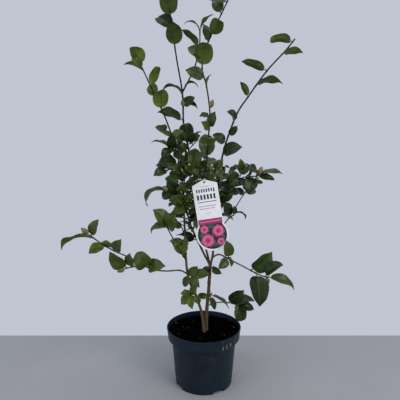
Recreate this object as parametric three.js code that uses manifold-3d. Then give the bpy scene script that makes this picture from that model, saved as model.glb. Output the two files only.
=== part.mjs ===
// A young camellia in its nursery pot, with its hang label.
// Millimetres, +Z up. The origin is the centre of the pot's flat underside, and -Y is the front.
//
// The limbs are tapering tubes through a few hand-set points. Every spray of leaves is one solid:
// a stem with its twigs, leaves and buds fused on. Leaves are written as short words that read like
// wind directions, as seen from the front: '68nnw60+' is a leaf 68 mm along its twig that points
// north-north-west, is 60 mm long and leans one step forward. Two steps are ++, a step back is -,
// ~ marks a blade that curls under, f one that turns its upper face to the front, and u its underside;
// h makes either of them a part turn, and i is a narrow blade.
// A seeded rule gives each leaf its turn, arch and width, and turns it aside from what is in its way.

import * as THREE from 'three'
import { mergeVertices } from 'three/addons/utils/BufferGeometryUtils.js'
import Module from 'manifold-3d'

const wasm = await Module()
wasm.setup()

// ---------------------------------------------------------------- driving dimensions

const GAP = 0.3 // clear space where one piece meets another

const POT = {
  height: 153,
  rimRadius: 95,
  wall: 1.8,
  floor: 3,
  collar: 28, // height of the stacking collar under the rim
  collarDraft: 3, // how much narrower the collar is at its foot
  step: 8, // height of the slope from the collar in to the body
  bodyRadius: 82,
  footRadius: 73,
  sides: 36,
}
const SOIL_TOP = 141
const DRAIN = { count: 4, turn: 30, width: 27, height: 7, depth: 13, hole: 5 } // recesses round the foot

const LABEL = {
  hole: [0, -38, 534], // centre of the hole that the tie goes through
  width: 60,
  thickness: 0.8,
  holeRadius: 2.4,
  peak: 6.5, // the roof's top above the hole
  shoulder: 5, // the roof's foot below the hole
  disc: 127, // from the hole down to the centre of the round end
  discRadius: 39,
  tilt: 9, // degrees, foot to the right
  lean: 4, // degrees, foot forward
}
const TIE = { radius: 0.7, sides: 5, steps: 24 }

const LEAF = {
  aspect: 0.57, // width over length
  thick: 0.024, // thickness at the midrib over length
  stalk: 0.09, // stalk over length
  stalkRadius: 0.75,
  stations: [0.2, 0.6], // where the blade has a cross-section, from base to tip
  rounding: 0.62, // exponents of the outline at its base and at its tip
  pointing: 1,
}
const STEP_LEAN = 32 // degrees of lean for one + or -
const FACING = 1.5 // how far f and u pull a blade's face round to the front, against its own upward 1
const HALF_FACING = 0.35 // what h makes of f and u
const NARROW = 0.6 // what i makes of a blade's width
const TWIG_TIP = 1.2 // radius at a twig's end
const FLARE = { grow: 0.12, fade: 9 } // root flare: share added at the soil, and its fade in mm

// ---------------------------------------------------------------- limbs and sprays

// Each limb: the limb it grows from, the points it passes through, its radius at foot and at tip.
const LIMBS = {
  main_stem: { through: [[6, 3, 128], [7, 0, 190], [12, -3, 250], [16, -4, 324]], radius: [4.6, 4.1] },
  left_stem: {
    through: [[2, -7, 128], [-5, -9, 189], [-21, -13, 243], [-39, -14, 288], [-45, -14, 345],
      [-48, -12, 431], [-52, -4, 519], [-62, 4, 581], [-77, 10, 638]],
    radius: [3.7, 1.7],
  },
  inner_bough: {
    through: [[15, -5, 318], [-8, -2, 364], [-33, 14, 417], [-49, 30, 477], [-50, 34, 512]],
    radius: [2.8, 1.6],
  },
  middle_leader: {
    through: [[15, -2, 320], [6, 4, 355], [-5, 9, 400], [-18, 12, 501], [-34, 12, 587], [-50, 14, 672]],
    radius: [2.5, 1.9],
  },
  right_leader: {
    through: [[17, -4, 320], [23, -3, 357], [15, -6, 409], [3, -17, 485], [-1, -23, 535], [5, -26, 570]],
    radius: [2.9, 1.7],
  },
  right_bough: {
    through: [[23, -3, 358], [27, 3, 392], [31, 14, 442], [36, 30, 510], [40, 46, 558]],
    radius: [2.6, 2.1],
  },
  left_low_bough: {
    through: [[-41, -14, 298], [-60, -24, 311], [-95, -40, 315], [-130, -56, 327], [-166, -68, 353],
      [-208, -80, 377]],
    radius: [2, 1.5],
  },
  right_low_bough: {
    through: [[20, -4, 337], [37, -24, 352], [60, -56, 350], [84, -78, 344], [106, -96, 337]],
    radius: [2, 1.5],
  },
  right_side_bough: {
    through: [[33, 19, 458], [41, 18, 491], [57, 10, 509], [73, 2, 523], [93, -8, 541]],
    radius: [1.6, 1.1],
  },
  right_inner_bough: {
    through: [[28, 5, 396], [48, 20, 413], [73, 40, 444], [89, 50, 468], [100, 56, 484]],
    radius: [1.6, 1.1],
  },
}

// Each spray: the limb it grows from, how far up that limb in mm (none: it carries on from the tip),
// the points its stem passes through, its leaves, its buds, whose words give their width, and the
// radius at the stem's end where that isn't the usual one.
const SPRAYS = {
  left_top: {
    on: 'left_stem', through: [[-95, 12, 687], [-125, 6, 753], [-147, 0, 803]],
    leaves: '66n60+u 100nnw42-f 126nne62+uhi 166wnw50uh 174nw36f 182nnw54+u',
  },
  middle_top: {
    on: 'middle_leader', through: [[-52, 16, 741], [-65, 12, 821], [-76, 4, 903], [-83, 0, 965]],
    leaves: '4wnw66fh 36ne38f 42ese38 60w68~i 174n62+u 215nw58-f 240n74+u 280nne46f 290nw44-f 300n46u',
    buds: '36n13',
    twigs: [{ at: 70, through: [[-29, 24, 786], [-18, 28, 816], [-11, 30, 851], [-10, 30, 885]],
      leaves: '8e46~i 116nw60uhi 146wnw56~i 152ne50i' }],
  },
  right_top: {
    on: 'right_leader',
    through: [[9, -30, 630], [13, -30, 694], [5, -30, 755], [-5, -30, 794], [0, -31, 830], [19, -34, 874],
      [42, -38, 920], [60, -40, 957]],
    leaves: '20n66-f 48n52++u 86nw32+f 90nne42f 116w30-f 185nne30 202wnw50f 228n66+u 246nw54-f 285nnw42fh '
      + '300nne60+u 352nnw48-f 380w40f 392n44u 402ne46f',
    buds: '136nne14',
  },
  right_high: {
    on: 'right_bough',
    through: [[56, 66, 619], [85, 90, 691], [115, 110, 734], [163, 142, 797], [217, 176, 853], [244, 192, 885]],
    leaves: '30ene58f 64wnw42f 84ne34f 122nw44fh~ 200nnw46uhi 238e76uhi 292wnw74uhi 360e56uh 406w80uhi~',
    tip: 1.8,
  },
  middle_upper: {
    on: 'middle_leader', at: 300, through: [[-40, 18, 622]],
    leaves: '6n62-f 12ene38f 14nnw34+f',
  },
  middle_low: {
    on: 'middle_leader', at: 292, through: [[-42, 2, 612]],
    leaves: '6wnw28+f 8ne24~ 12nw26f 10sw22',
  },
  left_front: {
    on: 'left_stem', at: 346, through: [[-44, -28, 484], [-40, -38, 504]],
    leaves: '8wsw40+f 14e32+f 18nw42+f 24nne38+f 28w44+f',
  },
  middle_dark: {
    on: 'middle_leader', at: 232, through: [[-22, 2, 562]],
    leaves: '3w34+f 5nw38+f 10n52+f 14sw34+f 18n54-f',
  },
  left_upper_side: {
    on: 'left_stem', at: 485, through: [[-84, -6, 613]],
    leaves: '4se32+f 8wsw24 12n48+f 14sw38+f 16wnw52', buds: '8w8',
  },
  left_cluster_high: {
    on: 'left_stem', at: 452, through: [[-82, -10, 562], [-94, -20, 556]],
    leaves: '4wnw50+f 12nw46-f 20w56~ 24nnw28~ 30wnw52++f 36wsw40+f 40sw34~',
  },
  left_cluster_low: {
    on: 'left_stem', at: 380, through: [[-77, -22, 512], [-97, -32, 510]],
    leaves: '8ssw38f 14nw46+f 20wsw46f 28n38+f 34wsw40++f 46sw80~i', buds: '44nw13+',
  },
  inner_top: {
    on: 'inner_bough', through: [[-48, 38, 545], [-44, 38, 575]],
    leaves: '6e30f 16nw42-f 26ne36-f 36nnw40-f 46n48+f 56ne36f', buds: '3ese14+ 6w8',
  },
  inner_side: {
    on: 'inner_bough', at: 135, through: [[-52, 10, 466], [-58, 4, 488]],
    leaves: '4ene32f 12w40f 20nne36+f 32nnw44f 40nw44+f',
  },
  left_side: {
    on: 'left_stem', at: 213, through: [[-59, -24, 361], [-82, -42, 412], [-91, -48, 436]],
    leaves: '12nnw62u 5nw34u 102nne56+f 104wsw54~ 106nw60fh 110n34+f 114ene30-',
  },
  left_low_middle: {
    on: 'left_low_bough', at: 106, through: [[-143, -64, 340]],
    leaves: '4nne28-- 4ene56+f 10nnw62fh~',
  },
  left_low_under: {
    on: 'left_low_bough', at: 118, through: [[-172, -72, 336], [-196, -78, 331]],
    leaves: '22nne38f 34n44f 44nw58f', buds: '50wsw13',
  },
  left_low_tip: {
    on: 'left_low_bough', through: [[-233, -86, 394], [-256, -90, 413], [-266, -92, 421]],
    leaves: '2nne50+f 24wsw48+u 40ese30u 56wsw92uh 66nne46fh', buds: '74nw15',
  },
  right_low_middle: {
    on: 'right_low_bough', at: 60, through: [[64, -64, 357]],
    leaves: '4sw36+f 6sse26 9n46f',
  },
  right_low_tip: {
    on: 'right_low_bough', through: [[128, -108, 329], [144, -114, 326]],
    leaves: '2ne68f 16s80+f 40ene64~i 44ese74i', buds: '48s14',
  },
  right_cluster: {
    on: 'right_bough', at: 168, through: [[30, 22, 545], [26, 18, 560]],
    leaves: '10wsw44+f 14e36-f 26wnw34f 32nne38f', buds: '28se13+',
  },
  right_side_middle: {
    on: 'right_side_bough', at: 72, through: [[79, -8, 532]],
    leaves: '2nnw36f 4w44f 9ese46~ 12nnw50+f',
  },
  right_side_tip: {
    on: 'right_side_bough', through: [[110, -14, 544], [125, -20, 546], [133, -24, 552]],
    leaves: '8nnw42~ 26ssw50+f 34wnw46~ 36ese46fhi 42e60fhi', buds: '40nne15 36s10',
  },
  right_side_low: {
    on: 'right_side_bough', at: 36, through: [[46, 10, 497]],
    leaves: '3ese26 9nne32f',
  },
  right_inner_low: {
    on: 'right_inner_bough', at: 54, through: [[76, 30, 440]],
    leaves: '2nnw48f 14ese46~i 18n24f',
  },
  right_inner_tip: {
    on: 'right_inner_bough', through: [[108, 60, 495]],
    leaves: '2nw28f 8e38-f 12nne34f',
  },
  right_inner_leaf: {
    on: 'right_leader', at: 226, through: [[-10, -30, 552]],
    leaves: '8wnw34f 10ne34-f',
  },
  inner_low: {
    on: 'inner_bough', at: 78, through: [[-32, -4, 400]],
    leaves: '3wsw26f 8w36',
  },
  inner_middle: {
    on: 'inner_bough', at: 118, through: [[-33, 8, 434]],
    leaves: '6ne30f 10nnw32+f',
  },
  foot_left: {
    on: 'left_stem', at: 120, through: [[-33, -22, 247]],
    leaves: '4sse30f 8sw40f 10s40+f 11nne32f 12w28 14nw34+f',
  },
  foot_middle: {
    on: 'left_stem', at: 170, through: [[-27, -20, 302]],
    leaves: '3ne36f 7ssw34f 8se40+f 12e48f',
  },
  foot_inner: {
    on: 'main_stem', at: 104, through: [[20, -12, 247]],
    leaves: '4w30f 8sse42fi 12se62i',
  },
  foot_right: {
    on: 'main_stem', at: 178, through: [[25, -12, 318]],
    leaves: '6wsw28f 9ese32+f',
  },
  low_back: {
    on: 'main_stem', at: 80, through: [[36, 60, 191], [66, 100, 174], [100, 120, 158], [117, 126, 149]],
    leaves: '126ne58f 146e64fh 156ese54f 160sse54f', buds: '156s13+',
  },
  back_left: {
    on: 'left_stem', at: 330, through: [[-60, 22, 474], [-66, 46, 498]],
    rule: [5, 50],
  },
  back_middle: {
    on: 'middle_leader', at: 160, through: [[0, 44, 500], [4, 66, 526]],
    rule: [6, 52],
  },
  back_right: {
    on: 'right_bough', at: 82, through: [[48, 44, 462], [60, 70, 486]],
    rule: [5, 50],
  },
  front_middle: {
    on: 'right_leader', at: 110, through: [[30, -24, 452], [38, -34, 474]],
    rule: [4, 46],
  },
}

// ---------------------------------------------------------------- small helpers

const UP = new THREE.Vector3(0, 0, 1)
const BACK = new THREE.Vector3(0, 1, 0)
const RIGHT = new THREE.Vector3(1, 0, 0)
const radians = THREE.MathUtils.degToRad
const mix = THREE.MathUtils.lerp
const vector = (point) => new THREE.Vector3(...point)

/** A repeatable stream of numbers from 0 to 1. */
function seeded(seed) {
  let state = seed
  return () => {
    state = (state + 0x6d2b79f5) | 0
    let t = Math.imul(state ^ (state >>> 15), state | 1)
    t ^= t + Math.imul(t ^ (t >>> 7), t | 61)
    return ((t ^ (t >>> 14)) >>> 0) / 4294967296
  }
}

/** A three.js geometry as a manifold solid. */
function solid(geometry) {
  const bare = geometry.clone()
  bare.deleteAttribute('normal')
  bare.deleteAttribute('uv')
  const merged = mergeVertices(bare, 1e-4)
  const mesh = new wasm.Mesh({
    numProp: 3,
    vertProperties: merged.attributes.position.array,
    triVerts: Uint32Array.from(merged.index.array),
  })
  return new wasm.Manifold(mesh)
}

/** The largest piece of a solid, as a geometry: scraps that a cut leaves are dropped. */
function geometryOf(body) {
  const pieces = body.decompose().sort((a, b) => b.volume() - a.volume())
  const mesh = pieces[0].getMesh()
  const geometry = new THREE.BufferGeometry()
  geometry.setAttribute('position', new THREE.BufferAttribute(mesh.vertProperties, 3))
  geometry.setIndex(new THREE.BufferAttribute(mesh.triVerts, 1))
  return geometry
}

/** A closed skin over a row of rings. A ring of one point closes the skin to a tip. */
function loft(rings, closed = false) {
  const index = []
  const starts = []
  let total = 0
  for (const ring of rings) {
    starts.push(total)
    total += ring.length
  }
  const spans = closed ? rings.length : rings.length - 1
  for (let i = 0; i < spans; i++) {
    const next = (i + 1) % rings.length
    const [a, b] = [starts[i], starts[next]]
    const [m, n] = [rings[i].length, rings[next].length]
    for (let k = 0; k < Math.max(m, n); k++) {
      const k2 = (k + 1) % Math.max(m, n)
      if (m > 1) index.push(a + k, a + k2, n > 1 ? b + k2 : b)
      if (n > 1) index.push(m > 1 ? a + k : a, b + k2, b + k)
    }
  }
  if (!closed) {
    const last = starts.at(-1)
    for (let k = 1; k < rings[0].length - 1; k++) index.push(0, k + 1, k)
    for (let k = 1; k < rings.at(-1).length - 1; k++) index.push(last, last + k, last + k + 1)
  }
  const geometry = new THREE.BufferGeometry().setFromPoints(rings.flat())
  geometry.setIndex(index)
  return geometry
}

/** Evenly spaced places along a curve, each with a frame that turns as little as it can. */
function stations(curve, count) {
  const places = []
  let side = null
  for (let i = 0; i <= count; i++) {
    const share = i / count
    const point = curve.getPointAt(share)
    const ahead = curve.getTangentAt(share)
    side = side ? side.clone().projectOnPlane(ahead).normalize() : BACK.clone().cross(ahead).normalize()
    places.push({ point, ahead, side, top: ahead.clone().cross(side), share })
  }
  return places
}

/** A round tube along a curve, whose radius is a function of the share of the way along it. */
function tube(curve, radiusAt, sides, step, closed = false) {
  const count = Math.max(2, Math.round(curve.getLength() / step))
  const places = stations(curve, count)
  if (closed) places.pop()
  const rings = places.map(({ point, side, top, share }) => {
    const ring = []
    for (let k = 0; k < sides; k++) {
      const angle = (2 * Math.PI * k) / sides
      const out = side.clone().multiplyScalar(Math.cos(angle)).addScaledVector(top, Math.sin(angle))
      ring.push(point.clone().addScaledVector(out, radiusAt(share)))
    }
    return ring
  })
  return loft(rings, closed)
}

/** A point and its heading so many mm along a curve. */
function along(curve, distance) {
  const share = Math.min(distance / curve.getLength(), 1)
  return { point: curve.getPointAt(share), ahead: curve.getTangentAt(share), share }
}

// ---------------------------------------------------------------- pot and soil

/** A solid of revolution from radius-height pairs that close on the axis. */
function turned(profile) {
  const points = profile.map(([radius, height]) => new THREE.Vector2(radius, height))
  return solid(new THREE.LatheGeometry(points, POT.sides).rotateX(Math.PI / 2))
}

/** The pot's radius-height outline from the foot up, moved in by an inset. */
function potOutline(inset) {
  const stepTop = POT.height - POT.collar
  return [
    [POT.footRadius - inset, 0],
    [POT.bodyRadius - inset, stepTop - POT.step],
    [POT.rimRadius - POT.collarDraft - inset, stepTop],
    [POT.rimRadius - inset, POT.height],
  ]
}

/** The drain recesses round the foot, grown by an amount: four low boxes let in from the side. */
function recesses(grow) {
  const { count, turn, width, height, depth } = DRAIN
  let all = null
  for (let i = 0; i < count; i++) {
    const reach = 2 * depth
    const box = new THREE.BoxGeometry(width + 2 * grow, reach + 2 * grow, 2 * (height + grow))
    box.translate(0, -(POT.footRadius - depth + reach / 2), 0)
    box.rotateZ(radians(turn + (360 / count) * i))
    all = all ? all.add(solid(box)) : solid(box)
  }
  return all
}

function makePot() {
  const outside = turned([[0, 0], ...potOutline(0), [0, POT.height]])
  const inner = potOutline(POT.wall)
  const hollow = turned([[0, POT.floor], [inner[0][0], POT.floor], ...inner.slice(1), [inner[3][0], 200], [0, 200]])
  let pot = outside.subtract(hollow.subtract(recesses(POT.wall))).subtract(recesses(0))
  for (let i = 0; i < DRAIN.count; i++) {
    const hole = new THREE.CylinderGeometry(DRAIN.hole, DRAIN.hole, 4 * DRAIN.height, 16).rotateX(Math.PI / 2)
    hole.translate(0, -(POT.footRadius - DRAIN.depth) / 1.8, 0).rotateZ(radians(DRAIN.turn + 45 + 90 * i))
    pot = pot.subtract(solid(hole))
  }
  return pot
}

function makeSoil() {
  const inner = potOutline(POT.wall + GAP)
  const [, body, shelf, rim] = inner
  const topRadius = mix(shelf[0], rim[0], (SOIL_TOP - shelf[1]) / (rim[1] - shelf[1]))
  const base = POT.floor + GAP
  const profile = [[0, base], [inner[0][0], base], body, shelf, [topRadius, SOIL_TOP], [0, SOIL_TOP]]
  return turned(profile).subtract(recesses(POT.wall + GAP))
}

// ---------------------------------------------------------------- limbs

const curveThrough = (points) => new THREE.CatmullRomCurve3(points, false, 'catmullrom')

/** Builds every limb in turn, each cut clear of the ones before it and flat at the soil. */
function makeLimbs() {
  const below = new THREE.BoxGeometry(400, 400, 200).translate(0, 0, SOIL_TOP + GAP - 100)
  let taken = solid(below)
  const limbs = {}
  for (const [name, { through, radius }] of Object.entries(LIMBS)) {
    const curve = curveThrough(through.map(vector))
    const length = curve.getLength()
    const radiusAt = (share) => {
      const up = share * length - (SOIL_TOP - through[0][2])
      const flare = through[0][2] < SOIL_TOP ? FLARE.grow * Math.exp(-Math.max(up, 0) / FLARE.fade) : 0
      return mix(radius[0], radius[1], share) * (1 + flare)
    }
    const sides = radius[0] > 2 ? 8 : 6
    const step = radius[0] > 4 ? 14 : 22
    const body = solid(tube(curve, radiusAt, sides, step)).subtract(taken)
    const tip = curve.getPointAt(1).addScaledVector(curve.getTangentAt(1), GAP)
    const longer = curveThrough([...through.slice(0, -1).map(vector), tip])
    const grown = solid(tube(longer, (share) => radiusAt(share) + GAP, sides, step))
    taken = taken.add(grown)
    limbs[name] = { curve, radiusAt, body, grown }
  }
  return limbs
}

// ---------------------------------------------------------------- leaves

const COMPASS = ['n', 'nne', 'ne', 'ene', 'e', 'ese', 'se', 'sse', 's', 'ssw', 'sw', 'wsw', 'w', 'wnw', 'nw', 'nnw']

/** Reads words such as '68nnw60+' into places along the twig, directions and sizes. */
function readWords(words = '') {
  return words.split(' ').filter(Boolean).map((word) => {
    const [, at, wind, size, marks] = word.match(/^(\d+)([nesw]+)(\d+)([+~fuhi-]*)$/)
    const count = (mark) => marks.split(mark).length - 1
    return {
      at: Number(at),
      wind: COMPASS.indexOf(wind) * 22.5,
      size: Number(size),
      lean: count('+') - count('-'),
      facing: (count('f') - count('u')) * (marks.includes('h') ? HALF_FACING : 1),
      curled: marks.includes('~'),
      narrow: marks.includes('i'),
    }
  })
}

/** Leaves by the rule alone: a spiral of two turns to five leaves up the outer part of the twig. */
function spiral([count, size], length, random) {
  const turn = random() * 360
  return Array.from({ length: count }, (_, i) => ({
    at: length * mix(0.35, 1, i / (count - 1)),
    wind: (turn + 144 * i) % 360,
    size: size * mix(0.8, 1.1, random()),
    lean: -Math.cos(radians(turn + 144 * i + 90)) * 1.5,
    facing: 0,
    curled: false,
    narrow: false,
  }))
}

/** The way a leaf points: its compass bearing as seen from the front, and its lean in degrees. */
function pointing(bearing, lean) {
  const [turn, tilt] = [radians(bearing), radians(lean)]
  return new THREE.Vector3(Math.sin(turn) * Math.cos(tilt), -Math.sin(tilt), Math.cos(turn) * Math.cos(tilt))
}

/** Half the blade's width at a share of its length, as a share of its greatest. */
function outline(share) {
  const { rounding, pointing: tip } = LEAF
  const widest = rounding / (rounding + tip)
  const shape = (s) => s ** rounding * (1 - s) ** tip
  return shape(share) / shape(widest)
}

/** A leaf's midrib and breadth, worked out from where it springs, where it points and its draws. */
function leafShape(foot, ahead, radius, leaf, draws, [moreLean, moreTurn]) {
  const [swing, roll, arch, broad, fold] = draws
  const chord = pointing(leaf.wind + mix(-7, 7, swing) + moreTurn, STEP_LEAN * leaf.lean + moreLean)
  const natural = UP.clone().multiplyScalar(0.6).addScaledVector(ahead, 0.4)
  const shown = natural.addScaledVector(BACK, -FACING * leaf.facing)
  const normal = shown.projectOnPlane(chord).normalize()
  normal.applyAxisAngle(chord, radians(mix(-22, 22, roll)))
  const side = normal.clone().cross(chord)
  const bend = radians(leaf.curled ? mix(120, 150, arch) : mix(30, 70, arch))
  const size = leaf.size
  const heading = (share) => chord.clone().applyAxisAngle(side, -bend * (0.5 - share))
  const start = foot.clone().addScaledVector(heading(0), radius + LEAF.stalk * size)
  const reach = size * (1 - LEAF.stalk)
  const at = (share) => {
    const [turn, first] = [-bend * (0.5 - share), -bend * 0.5]
    const run = (Math.sin(turn) - Math.sin(first)) / bend
    const fall = (Math.cos(turn) - Math.cos(first)) / bend
    const point = start.clone().addScaledVector(chord, run * reach).addScaledVector(normal, fall * reach)
    return { point, lift: heading(share).cross(side) }
  }
  const half = 0.5 * LEAF.aspect * size * mix(0.88, 1.12, broad) * (leaf.narrow ? NARROW : 1)
  return { foot, start, side, at, half, size, rise: Math.tan(radians(mix(8, 24, fold))) }
}

/** Points over a leaf's blade that must keep clear of everything else. */
function feelers(shape) {
  const points = [{ spot: shape.foot.clone().lerp(shape.start, 0.6), near: true }]
  for (const share of [0.1, 0.22, 0.34, 0.46, 0.58, 0.7, 0.82, 0.94]) {
    const { point, lift } = shape.at(share)
    const reach = 0.9 * shape.half * outline(share)
    for (const across of [-1, -0.5, 0, 0.5, 1]) {
      const spot = point.clone().addScaledVector(shape.side, across * reach)
      spot.addScaledVector(lift, Math.abs(across) * reach * shape.rise)
      points.push({ spot, near: share < STALK_ZONE })
    }
  }
  return points
}

/** The leaf as one closed skin: a square stalk that opens into a lens with a folded midrib. */
function leafBody(shape) {
  const diamond = (point, lift, half, rise, thick) => {
    const corner = (across, up) => point.clone().addScaledVector(shape.side, across).addScaledVector(lift, up)
    return [corner(half, rise), corner(0, thick / 2), corner(-half, rise), corner(0, -thick / 2)]
  }
  const stalk = LEAF.stalkRadius
  const base = shape.at(0)
  const rings = LEAF.stations.map((share) => {
    const { point, lift } = shape.at(share)
    const half = shape.half * outline(share)
    return diamond(point, lift, half, half * shape.rise, LEAF.thick * shape.size)
  })
  return solid(loft([
    diamond(shape.foot, base.lift, stalk, 0, 2 * stalk),
    diamond(base.point, base.lift, stalk, 0, 2 * stalk),
    ...rings,
    [shape.at(1).point],
  ]))
}

/** A pointed oval bud, a little longer than wide, sitting on its twig. */
function budBody(point, radius, bud) {
  const out = pointing(bud.wind, STEP_LEAN * bud.lean)
  const shape = new THREE.SphereGeometry(bud.size / 2, 7, 5).rotateX(Math.PI / 2).scale(1, 1, 1.2)
  shape.applyQuaternion(new THREE.Quaternion().setFromUnitVectors(UP, out))
  const centre = point.clone().addScaledVector(out, radius + 0.45 * bud.size)
  return solid(shape.translate(centre.x, centre.y, centre.z))
}

// ---------------------------------------------------------------- sprays

const REACH_OF_LEAF = 2.2 // how far round each feeler a leaf claims its space
const STALK_ZONE = 0.4 // the share of a blade that may lie close to its own twig and limb
const TRIALS = [ // how a leaf may turn aside, in order: degrees of lean and of bearing
  [0, 0], [12, 0], [-12, 0], [0, 10], [0, -10], [24, 0], [-24, 0], [14, 14], [-14, -14], [14, -14], [-14, 14],
  [38, 0], [-38, 0], [26, 22], [-26, -22], [26, -22], [-26, 22], [54, 0], [-54, 0],
]

/** Balls along a limb or twig, that leaves keep clear of. */
function beads(curve, radiusAt, owner) {
  const count = Math.ceil(curve.getLength() / 5)
  return stations(curve, count).map(({ point, share }) => ({ spot: point, reach: radiusAt(share) + 0.6, owner }))
}

/** Whether a leaf stays in the crown's space: over the floor, and out of the pot. */
function inSpace(spot) {
  const overPot = Math.hypot(spot.x, spot.y) < POT.rimRadius + 5
  return spot.z > (overPot ? POT.height + 6 : 30)
}

/** Lays out the twigs of every spray: curves, radii and leaf lists, and the balls they claim. */
function layOutTwigs(limbs, claimed) {
  const twigs = []
  Object.entries(SPRAYS).forEach(([name, spray], number) => {
    const parent = limbs[spray.on]
    const random = seeded(1000 + number)
    const root = along(parent.curve, spray.at ?? Infinity)
    const rootRadius = spray.at === undefined ? parent.radiusAt(1) : 1.3
    const addTwig = (foot, thick, row) => {
      const curve = curveThrough([foot, ...row.through.map(vector)])
      const radiusAt = (share) => mix(thick, Math.min(thick, row.tip ?? TWIG_TIP), share)
      const leaves = row.rule ? spiral(row.rule, curve.getLength(), random) : readWords(row.leaves)
      const drawn = leaves.map((leaf) => ({ ...leaf, draws: Array.from({ length: 5 }, random) }))
      twigs.push({ spray: name, on: spray.on, curve, radiusAt, leaves: drawn, buds: readWords(row.buds) })
      claimed.push(...beads(curve, radiusAt, twigs.length))
      return { curve, radiusAt }
    }
    const stem = addTwig(root.point, rootRadius, spray)
    for (const row of spray.twigs ?? []) {
      const fork = along(stem.curve, row.at)
      addTwig(fork.point, stem.radiusAt(fork.share), row)
    }
  })
  return twigs
}

/** Turns each leaf aside until it is clear of what is there already. One that never is, is left out. */
function placeLeaf(twig, number, leaf, claimed) {
  const { point, ahead, share } = along(twig.curve, leaf.at)
  for (const trial of TRIALS) {
    const shape = leafShape(point, ahead, twig.radiusAt(share), leaf, leaf.draws, trial)
    const points = feelers(shape)
    const clear = points.every(({ spot, near }) => inSpace(spot) && claimed.every((ball) => {
      if (near && (ball.owner === number || ball.owner === twig.on)) return true
      return ball.spot.distanceTo(spot) > ball.reach + REACH_OF_LEAF
    }))
    if (clear) {
      for (const { spot, near } of points) claimed.push({ spot, reach: REACH_OF_LEAF, owner: near ? number : 0 })
      return shape
    }
  }
  return null
}

function makeSprays(limbs, claimed) {
  for (const [name, { curve, radiusAt }] of Object.entries(limbs)) claimed.push(...beads(curve, radiusAt, name))
  const twigs = layOutTwigs(limbs, claimed)
  const bodies = {}
  twigs.forEach((twig, i) => {
    const parts = [solid(tube(twig.curve, twig.radiusAt, 4, 22))]
    for (const bud of twig.buds) {
      const { point, share } = along(twig.curve, bud.at)
      parts.push(budBody(point, twig.radiusAt(share), bud))
    }
    for (const leaf of twig.leaves) {
      const shape = placeLeaf(twig, i + 1, leaf, claimed)
      if (shape) parts.push(leafBody(shape))
    }
    const fused = parts.reduce((whole, part) => whole.add(part))
    const before = bodies[twig.spray]
    bodies[twig.spray] = before ? before.add(fused) : fused
  })
  for (const [name, { on }] of Object.entries(SPRAYS)) bodies[name] = bodies[name].subtract(limbs[on].grown)
  return bodies
}

// ---------------------------------------------------------------- label and tie

/** The label's outline in its own plane, with the hole at the origin: a roof, sides and a round end. */
function labelOutline() {
  const half = LABEL.width / 2
  const neck = Math.asin(half / LABEL.discRadius)
  const shape = new THREE.Shape()
  shape.moveTo(0, LABEL.peak)
  shape.lineTo(-half, -LABEL.shoulder)
  shape.lineTo(-half, -LABEL.disc + LABEL.discRadius * Math.cos(neck))
  shape.absarc(0, -LABEL.disc, LABEL.discRadius, Math.PI / 2 + neck, Math.PI * 2.5 - neck, false)
  shape.lineTo(half, -LABEL.shoulder)
  shape.closePath()
  shape.holes.push(new THREE.Path().absarc(0, 0, LABEL.holeRadius, 0, 2 * Math.PI, true))
  return shape
}

/** The label's own frame: its face looks to the front, and its foot swings right and forward. */
const labelFrame = new THREE.Matrix4()
  .makeTranslation(vector(LABEL.hole))
  .multiply(new THREE.Matrix4().makeRotationY(-radians(LABEL.tilt)))
  .multiply(new THREE.Matrix4().makeRotationX(Math.PI / 2 - radians(LABEL.lean)))

function makeLabel() {
  const options = { depth: LABEL.thickness, bevelEnabled: false, curveSegments: 9 }
  const slab = new THREE.ExtrudeGeometry(labelOutline(), options).translate(0, 0, -LABEL.thickness / 2)
  return solid(slab.applyMatrix4(labelFrame))
}

/** Balls over the label's face, so that leaves keep off it. */
function labelBalls() {
  const balls = []
  for (let down = 0; down <= LABEL.disc + LABEL.discRadius; down += 6) {
    for (let across = -LABEL.width / 2; across <= LABEL.width / 2; across += 6) {
      balls.push({ spot: new THREE.Vector3(across, -down, 0).applyMatrix4(labelFrame), reach: 3 })
    }
  }
  return balls
}

/** The tie: a ring of plastic round the right leader, over the label's top and through its hole. */
function tieCurve(limbs) {
  const [x, y, z] = LABEL.hole
  const { curve, radiusAt } = limbs.right_leader
  const level = stations(curve, 200).reduce((a, b) => (Math.abs(a.point.z - z) < Math.abs(b.point.z - z) ? a : b))
  const stem = level.point
  const reach = radiusAt(level.share) + GAP + TIE.radius
  return new THREE.CatmullRomCurve3([
    new THREE.Vector3(x, y, z + LABEL.holeRadius - TIE.radius - GAP),
    new THREE.Vector3(x - 2.5, y + 5, z - 1),
    new THREE.Vector3(stem.x - reach - 0.8, stem.y, z),
    new THREE.Vector3(stem.x, stem.y + reach + 0.4, z + 1),
    new THREE.Vector3(stem.x + reach + 0.8, stem.y, z + 3),
    new THREE.Vector3(x + 2.5, y + 5, z + 7),
    new THREE.Vector3(x, y - 0.5, z + LABEL.peak + 2.2),
    new THREE.Vector3(x, y - 3.2, z + 4.5),
  ], true, 'catmullrom')
}

// ---------------------------------------------------------------- assembly

const FINISH = {
  pot: { color: 0x222a33, roughness: 0.5, metalness: 0 },
  soil: { color: 0x1d1511, roughness: 1, metalness: 0 },
  bark: { color: 0x6b5140, roughness: 0.85, metalness: 0 },
  leaf: { color: 0x2f4a1c, roughness: 0.4, metalness: 0 },
  label: { color: 0xf2f2f0, roughness: 0.35, metalness: 0 },
  tie: { color: 0xdfe3e4, roughness: 0.4, metalness: 0 },
}

const plant = new THREE.Group()
plant.name = 'camellia_in_pot'

function addPiece(name, body, finish) {
  const mesh = new THREE.Mesh(geometryOf(body), new THREE.MeshStandardMaterial(FINISH[finish]))
  mesh.name = name
  plant.add(mesh)
}

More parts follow.
